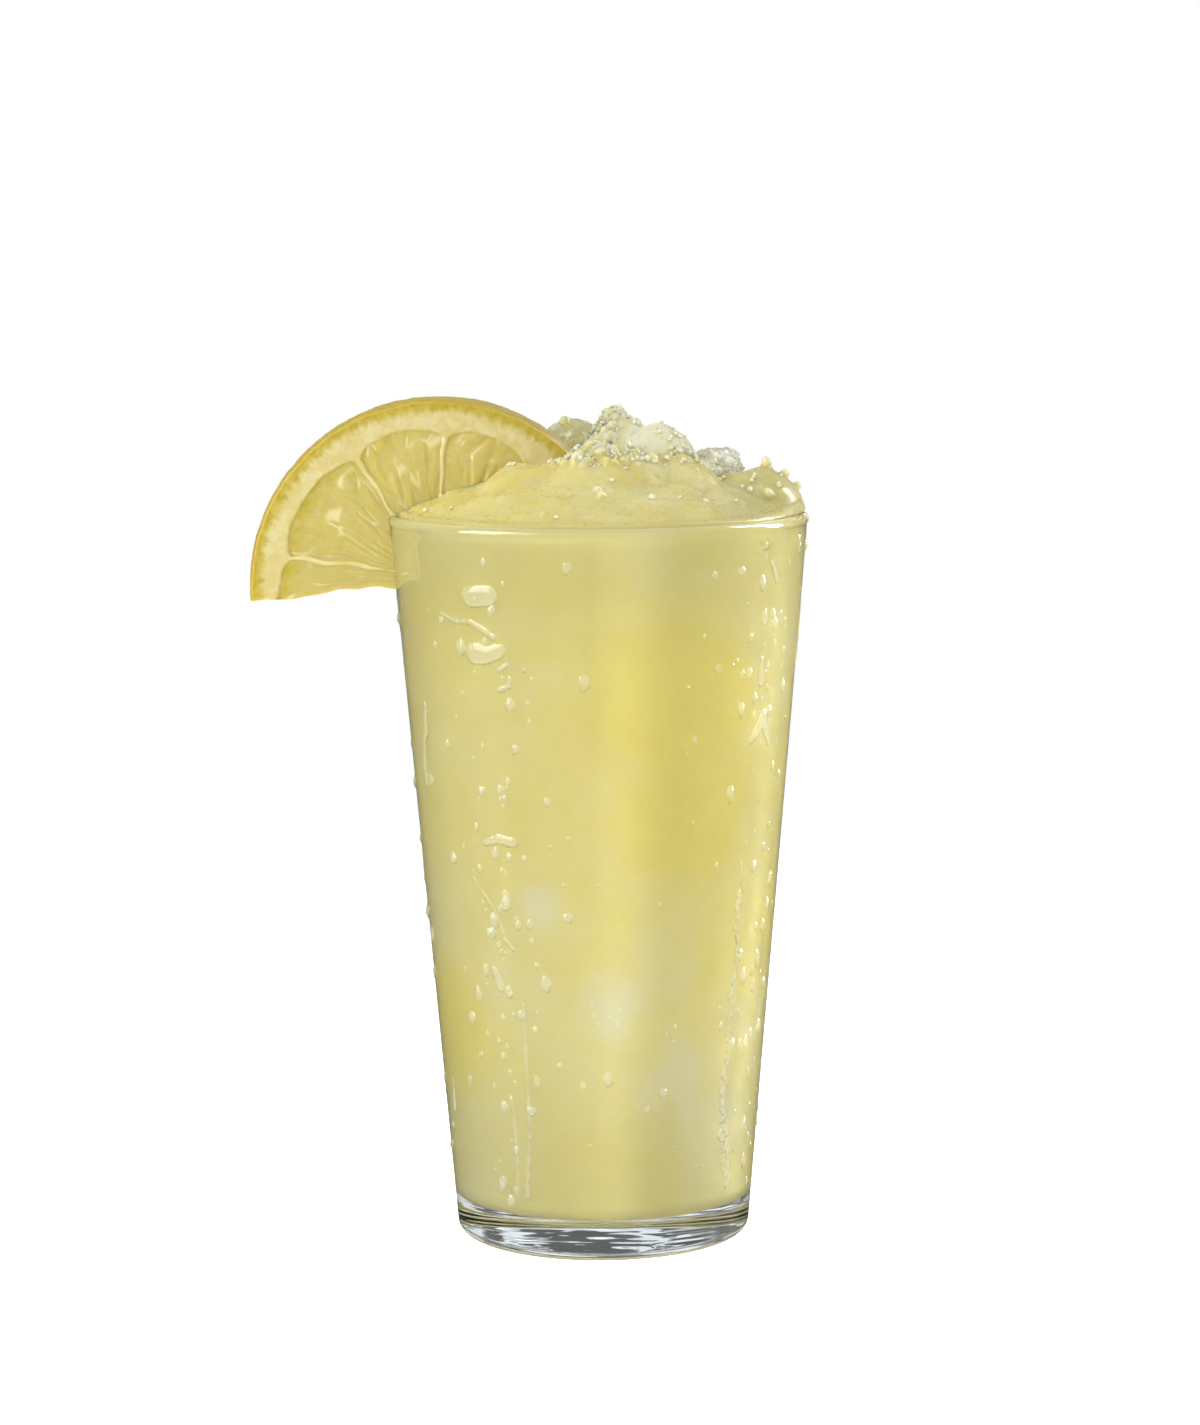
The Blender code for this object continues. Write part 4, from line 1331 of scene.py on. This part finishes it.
def make_runs(material):
    draw = random.Random(SEED + 4)
    blobs = [blob for run in RUNS + tuple(hidden_runs(draw)) for blob in run_blobs(run, draw)]
    points, faces, painted_shade = water_mesh(blobs)
    water = add_mesh("water_runs", points, faces, material)
    # Painted shade for the water's olive colour, most at the runs' lower edges.
    store(water, "edge", painted_shade)
    water.data.set_sharp_from_angle(angle=FOOT_ANGLE)
    return as_piece(water, "glass")


# Stage


def make_floor():
    nodes = Nodes("pale_floor")
    nodes.set(Roughness=0.7, Specular_IOR_Level=0.2, Emission_Strength=0.62)
    nodes.shader.inputs["Emission Color"].default_value = (1.0, 1.0, 1.0, 1.0)
    tone = nodes.noise(nodes.place(), 40 * MM, detail=2.0)
    nodes.colour(nodes.mix(tone, (0.90, 0.90, 0.90), (0.92, 0.92, 0.92)))
    glow = nodes.add("ShaderNodeEmission")
    glow.inputs["Color"].default_value = (1.0, 1.0, 1.0, 1.0)
    distance = nodes.add("ShaderNodeVectorMath", operation="LENGTH")
    nodes.link(nodes.place(), distance.inputs[0])
    far = nodes.ramp(distance.outputs["Value"], 0.14, 0.6)
    mixer = nodes.add("ShaderNodeMixShader")
    nodes.link(far, mixer.inputs["Fac"])
    nodes.link(nodes.shader.outputs["BSDF"], mixer.inputs[1])
    nodes.link(glow.outputs["Emission"], mixer.inputs[2])
    nodes.link(mixer.outputs["Shader"], nodes.output.inputs["Surface"])
    radius = 4.0
    sides = 96
    points = [(0.0, 0.0, -0.2 * MM)]
    for side in range(sides):
        angle = 2 * math.pi * side / sides
        points.append((radius * math.cos(angle), radius * math.sin(angle), -0.2 * MM))
    floor = add_mesh("floor", points, cap_faces(1, 0, sides), nodes.material)
    floor.visible_glossy = False
    floor.visible_transmission = False


def add_lamp(name, place, target, width, height, power, colour=(1.0, 1.0, 1.0)):
    lamp = bpy.data.lights.new(name, "AREA")
    lamp.shape = "RECTANGLE"
    lamp.size = width
    lamp.size_y = height
    lamp.energy = power
    lamp.color = colour
    made = bpy.data.objects.new(name, lamp)
    bpy.context.scene.collection.objects.link(made)
    made.location = place
    made.rotation_euler = (Vector(target) - Vector(place)).to_track_quat("-Z", "Y").to_euler()
    return made


STUDIO_LIGHT = (
    (-1.0, (0.50, 0.50, 0.50)),
    (-0.6, (0.30, 0.30, 0.31)),
    (-0.42, (0.13, 0.135, 0.13)),
    (-0.2, (0.10, 0.10, 0.085)),
    (-0.05, (0.15, 0.155, 0.16)),
    (0.33, (0.12, 0.13, 0.14)),
    (0.39, (0.50, 0.53, 0.55)),
    (0.6, (0.66, 0.70, 0.72)),
)
STREAK_TURNS = 3.0
STREAK_RISES = 13.0
STREAK_OFFSET = (0.9, 0.4, 0.3)


class Glow(NamedTuple):
    """A soft round light below the floor, which only the tumbler's wall mirrors."""

    degrees: float
    z: float
    near: float
    far: float
    strength: float

    def way(self):
        """Unit vector towards the light; the degrees run from the front to the right."""
        flat = math.sqrt(1 - self.z**2)
        turn = math.radians(self.degrees)
        return (flat * math.sin(turn), -flat * math.cos(turn), self.z)


GLOWS = (
    Glow(-80.0, -0.3, 8.0, 42.0, 0.35),
    Glow(110.0, -0.3, 6.0, 32.0, 0.45),
)


def make_light():
    """Even studio light: a room whose brightness goes by the height looked at, and soft boxes."""
    world = bpy.data.worlds.new("studio")
    bpy.context.scene.world = world
    world.use_nodes = True
    tree = world.node_tree
    background = tree.nodes["Background"]
    direction = tree.nodes.new("ShaderNodeTexCoord")
    parts = tree.nodes.new("ShaderNodeSeparateXYZ")
    tree.links.new(direction.outputs["Generated"], parts.inputs["Vector"])
    height = tree.nodes.new("ShaderNodeMapRange")
    height.inputs["From Min"].default_value = -1.0
    tree.links.new(parts.outputs["Z"], height.inputs["Value"])
    light = tree.nodes.new("ShaderNodeValToRGB")
    tree.links.new(height.outputs["Result"], light.inputs["Fac"])
    stops = light.color_ramp.elements
    while len(stops) < len(STUDIO_LIGHT):
        stops.new(0.5)
    for stop, (level, colour) in zip(stops, STUDIO_LIGHT):
        stop.position = (level + 1) / 2
        stop.color = (*colour, 1.0)
    tree.links.new(light.outputs["Color"], background.inputs["Color"])
    stretch = tree.nodes.new("ShaderNodeMapping")
    stretch.inputs["Scale"].default_value = (STREAK_TURNS, STREAK_TURNS, STREAK_RISES)
    stretch.inputs["Location"].default_value = STREAK_OFFSET
    tree.links.new(direction.outputs["Generated"], stretch.inputs["Vector"])
    streaks = tree.nodes.new("ShaderNodeTexNoise")
    streaks.inputs["Scale"].default_value = 1.0
    streaks.inputs["Detail"].default_value = 2.0
    tree.links.new(stretch.outputs["Vector"], streaks.inputs["Vector"])
    strength = tree.nodes.new("ShaderNodeMapRange")
    strength.interpolation_type = "SMOOTHSTEP"
    strength.inputs["From Min"].default_value = 0.5
    strength.inputs["From Max"].default_value = 0.56
    strength.inputs["To Min"].default_value = 0.8
    strength.inputs["To Max"].default_value = 6.5
    tree.links.new(streaks.outputs["Fac"], strength.inputs["Value"])
    calm = tree.nodes.new("ShaderNodeMapRange")
    calm.inputs["From Min"].default_value = 0.34
    calm.inputs["From Max"].default_value = 0.4
    tree.links.new(parts.outputs["Z"], calm.inputs["Value"])
    below = tree.nodes.new("ShaderNodeMapRange")
    below.inputs["From Min"].default_value = -0.02
    below.inputs["From Max"].default_value = -0.12
    tree.links.new(parts.outputs["Z"], below.inputs["Value"])
    either = tree.nodes.new("ShaderNodeMath")
    either.operation = "MAXIMUM"
    tree.links.new(calm.outputs["Result"], either.inputs[0])
    tree.links.new(below.outputs["Result"], either.inputs[1])
    level = tree.nodes.new("ShaderNodeMix")
    tree.links.new(either.outputs["Value"], level.inputs["Factor"])
    tree.links.new(strength.outputs["Result"], level.inputs[2])
    level.inputs[3].default_value = 1.0
    tree.links.new(level.outputs[0], background.inputs["Strength"])
    studio = background.outputs["Background"]
    for glow in GLOWS:
        toward = tree.nodes.new("ShaderNodeVectorMath")
        toward.operation = "DOT_PRODUCT"
        toward.inputs[1].default_value = glow.way()
        tree.links.new(direction.outputs["Generated"], toward.inputs[0])
        share = tree.nodes.new("ShaderNodeMapRange")
        share.interpolation_type = "SMOOTHSTEP"
        share.inputs["From Min"].default_value = math.cos(math.radians(glow.far))
        share.inputs["From Max"].default_value = math.cos(math.radians(glow.near))
        share.inputs["To Max"].default_value = glow.strength
        tree.links.new(toward.outputs["Value"], share.inputs["Value"])
        lit = tree.nodes.new("ShaderNodeBackground")
        tree.links.new(share.outputs["Result"], lit.inputs["Strength"])
        added = tree.nodes.new("ShaderNodeAddShader")
        tree.links.new(studio, added.inputs[0])
        tree.links.new(lit.outputs["Background"], added.inputs[1])
        studio = added.outputs["Shader"]
    seen = tree.nodes.new("ShaderNodeBackground")
    seen.inputs["Color"].default_value = (1.0, 1.0, 1.0, 1.0)
    seen.inputs["Strength"].default_value = 1.0
    path = tree.nodes.new("ShaderNodeLightPath")
    mixer = tree.nodes.new("ShaderNodeMixShader")
    tree.links.new(path.outputs["Is Camera Ray"], mixer.inputs["Fac"])
    tree.links.new(studio, mixer.inputs[1])
    tree.links.new(seen.outputs["Background"], mixer.inputs[2])
    tree.links.new(mixer.outputs["Shader"], tree.nodes["World Output"].inputs["Surface"])
    add_lamp("left_box", (-0.95, -0.55, 0.62), (0.0, 0.0, 0.08), 1.0, 0.7, 8.8)
    add_lamp("right_box", (1.027, 0.394, 0.62), (0.0, 0.0, 0.08), 0.35, 0.7, 2.6).visible_transmission = False
    for name, place, width, power in (
        ("left_glint", (-1.005, -0.447, 0.66), 0.6, 14.0),
        ("right_glint", (1.027, 0.394, 0.66), 0.3, 42.0),
    ):
        glint = add_lamp(name, place, (0.0, 0.0, 0.5), width, 1.2, power)
        glint.visible_diffuse = False
        glint.visible_transmission = False
    add_lamp("top_box", (0.0, 0.1, 1.1), (0.0, 0.0, 0.1), 1.2, 1.0, 1.0)
    add_lamp("front_box", (0.3, -1.17, 0.5), (0.0, 0.0, 0.07), 1.5, 0.5, 5.2).visible_glossy = False


CAMERA_DISTANCE = 0.7623
CAMERA_HEIGHT = 0.19497
CAMERA_DOWN = math.radians(7.324)
CAMERA_ROLL = math.radians(-0.394)


def make_camera():
    camera = bpy.data.cameras.new("camera")
    camera.lens = 105.33
    camera.sensor_width = 36.0
    made = bpy.data.objects.new("camera", camera)
    bpy.context.scene.collection.objects.link(made)
    look = Matrix.Rotation(math.radians(90) - CAMERA_DOWN, 4, "X") @ Matrix.Rotation(CAMERA_ROLL, 4, "Z")
    made.matrix_world = Matrix.Translation((0.0, -CAMERA_DISTANCE, CAMERA_HEIGHT)) @ look
    bpy.context.scene.camera = made


def main():
    noise.seed_set(NOISE_SEED)
    make_camera()
    make_light()
    make_floor()
    make_tumbler(glass_material())
    make_fill(fill_material())
    make_heap(heap_material())
    make_clear_ice(clear_ice_material())
    make_loose_grains(grain_material())
    make_lemon(lemon_material())
    water = water_material()
    make_drops(water)
    make_runs(water)
    bpy.context.scene.view_settings.view_transform = "Standard"


main()
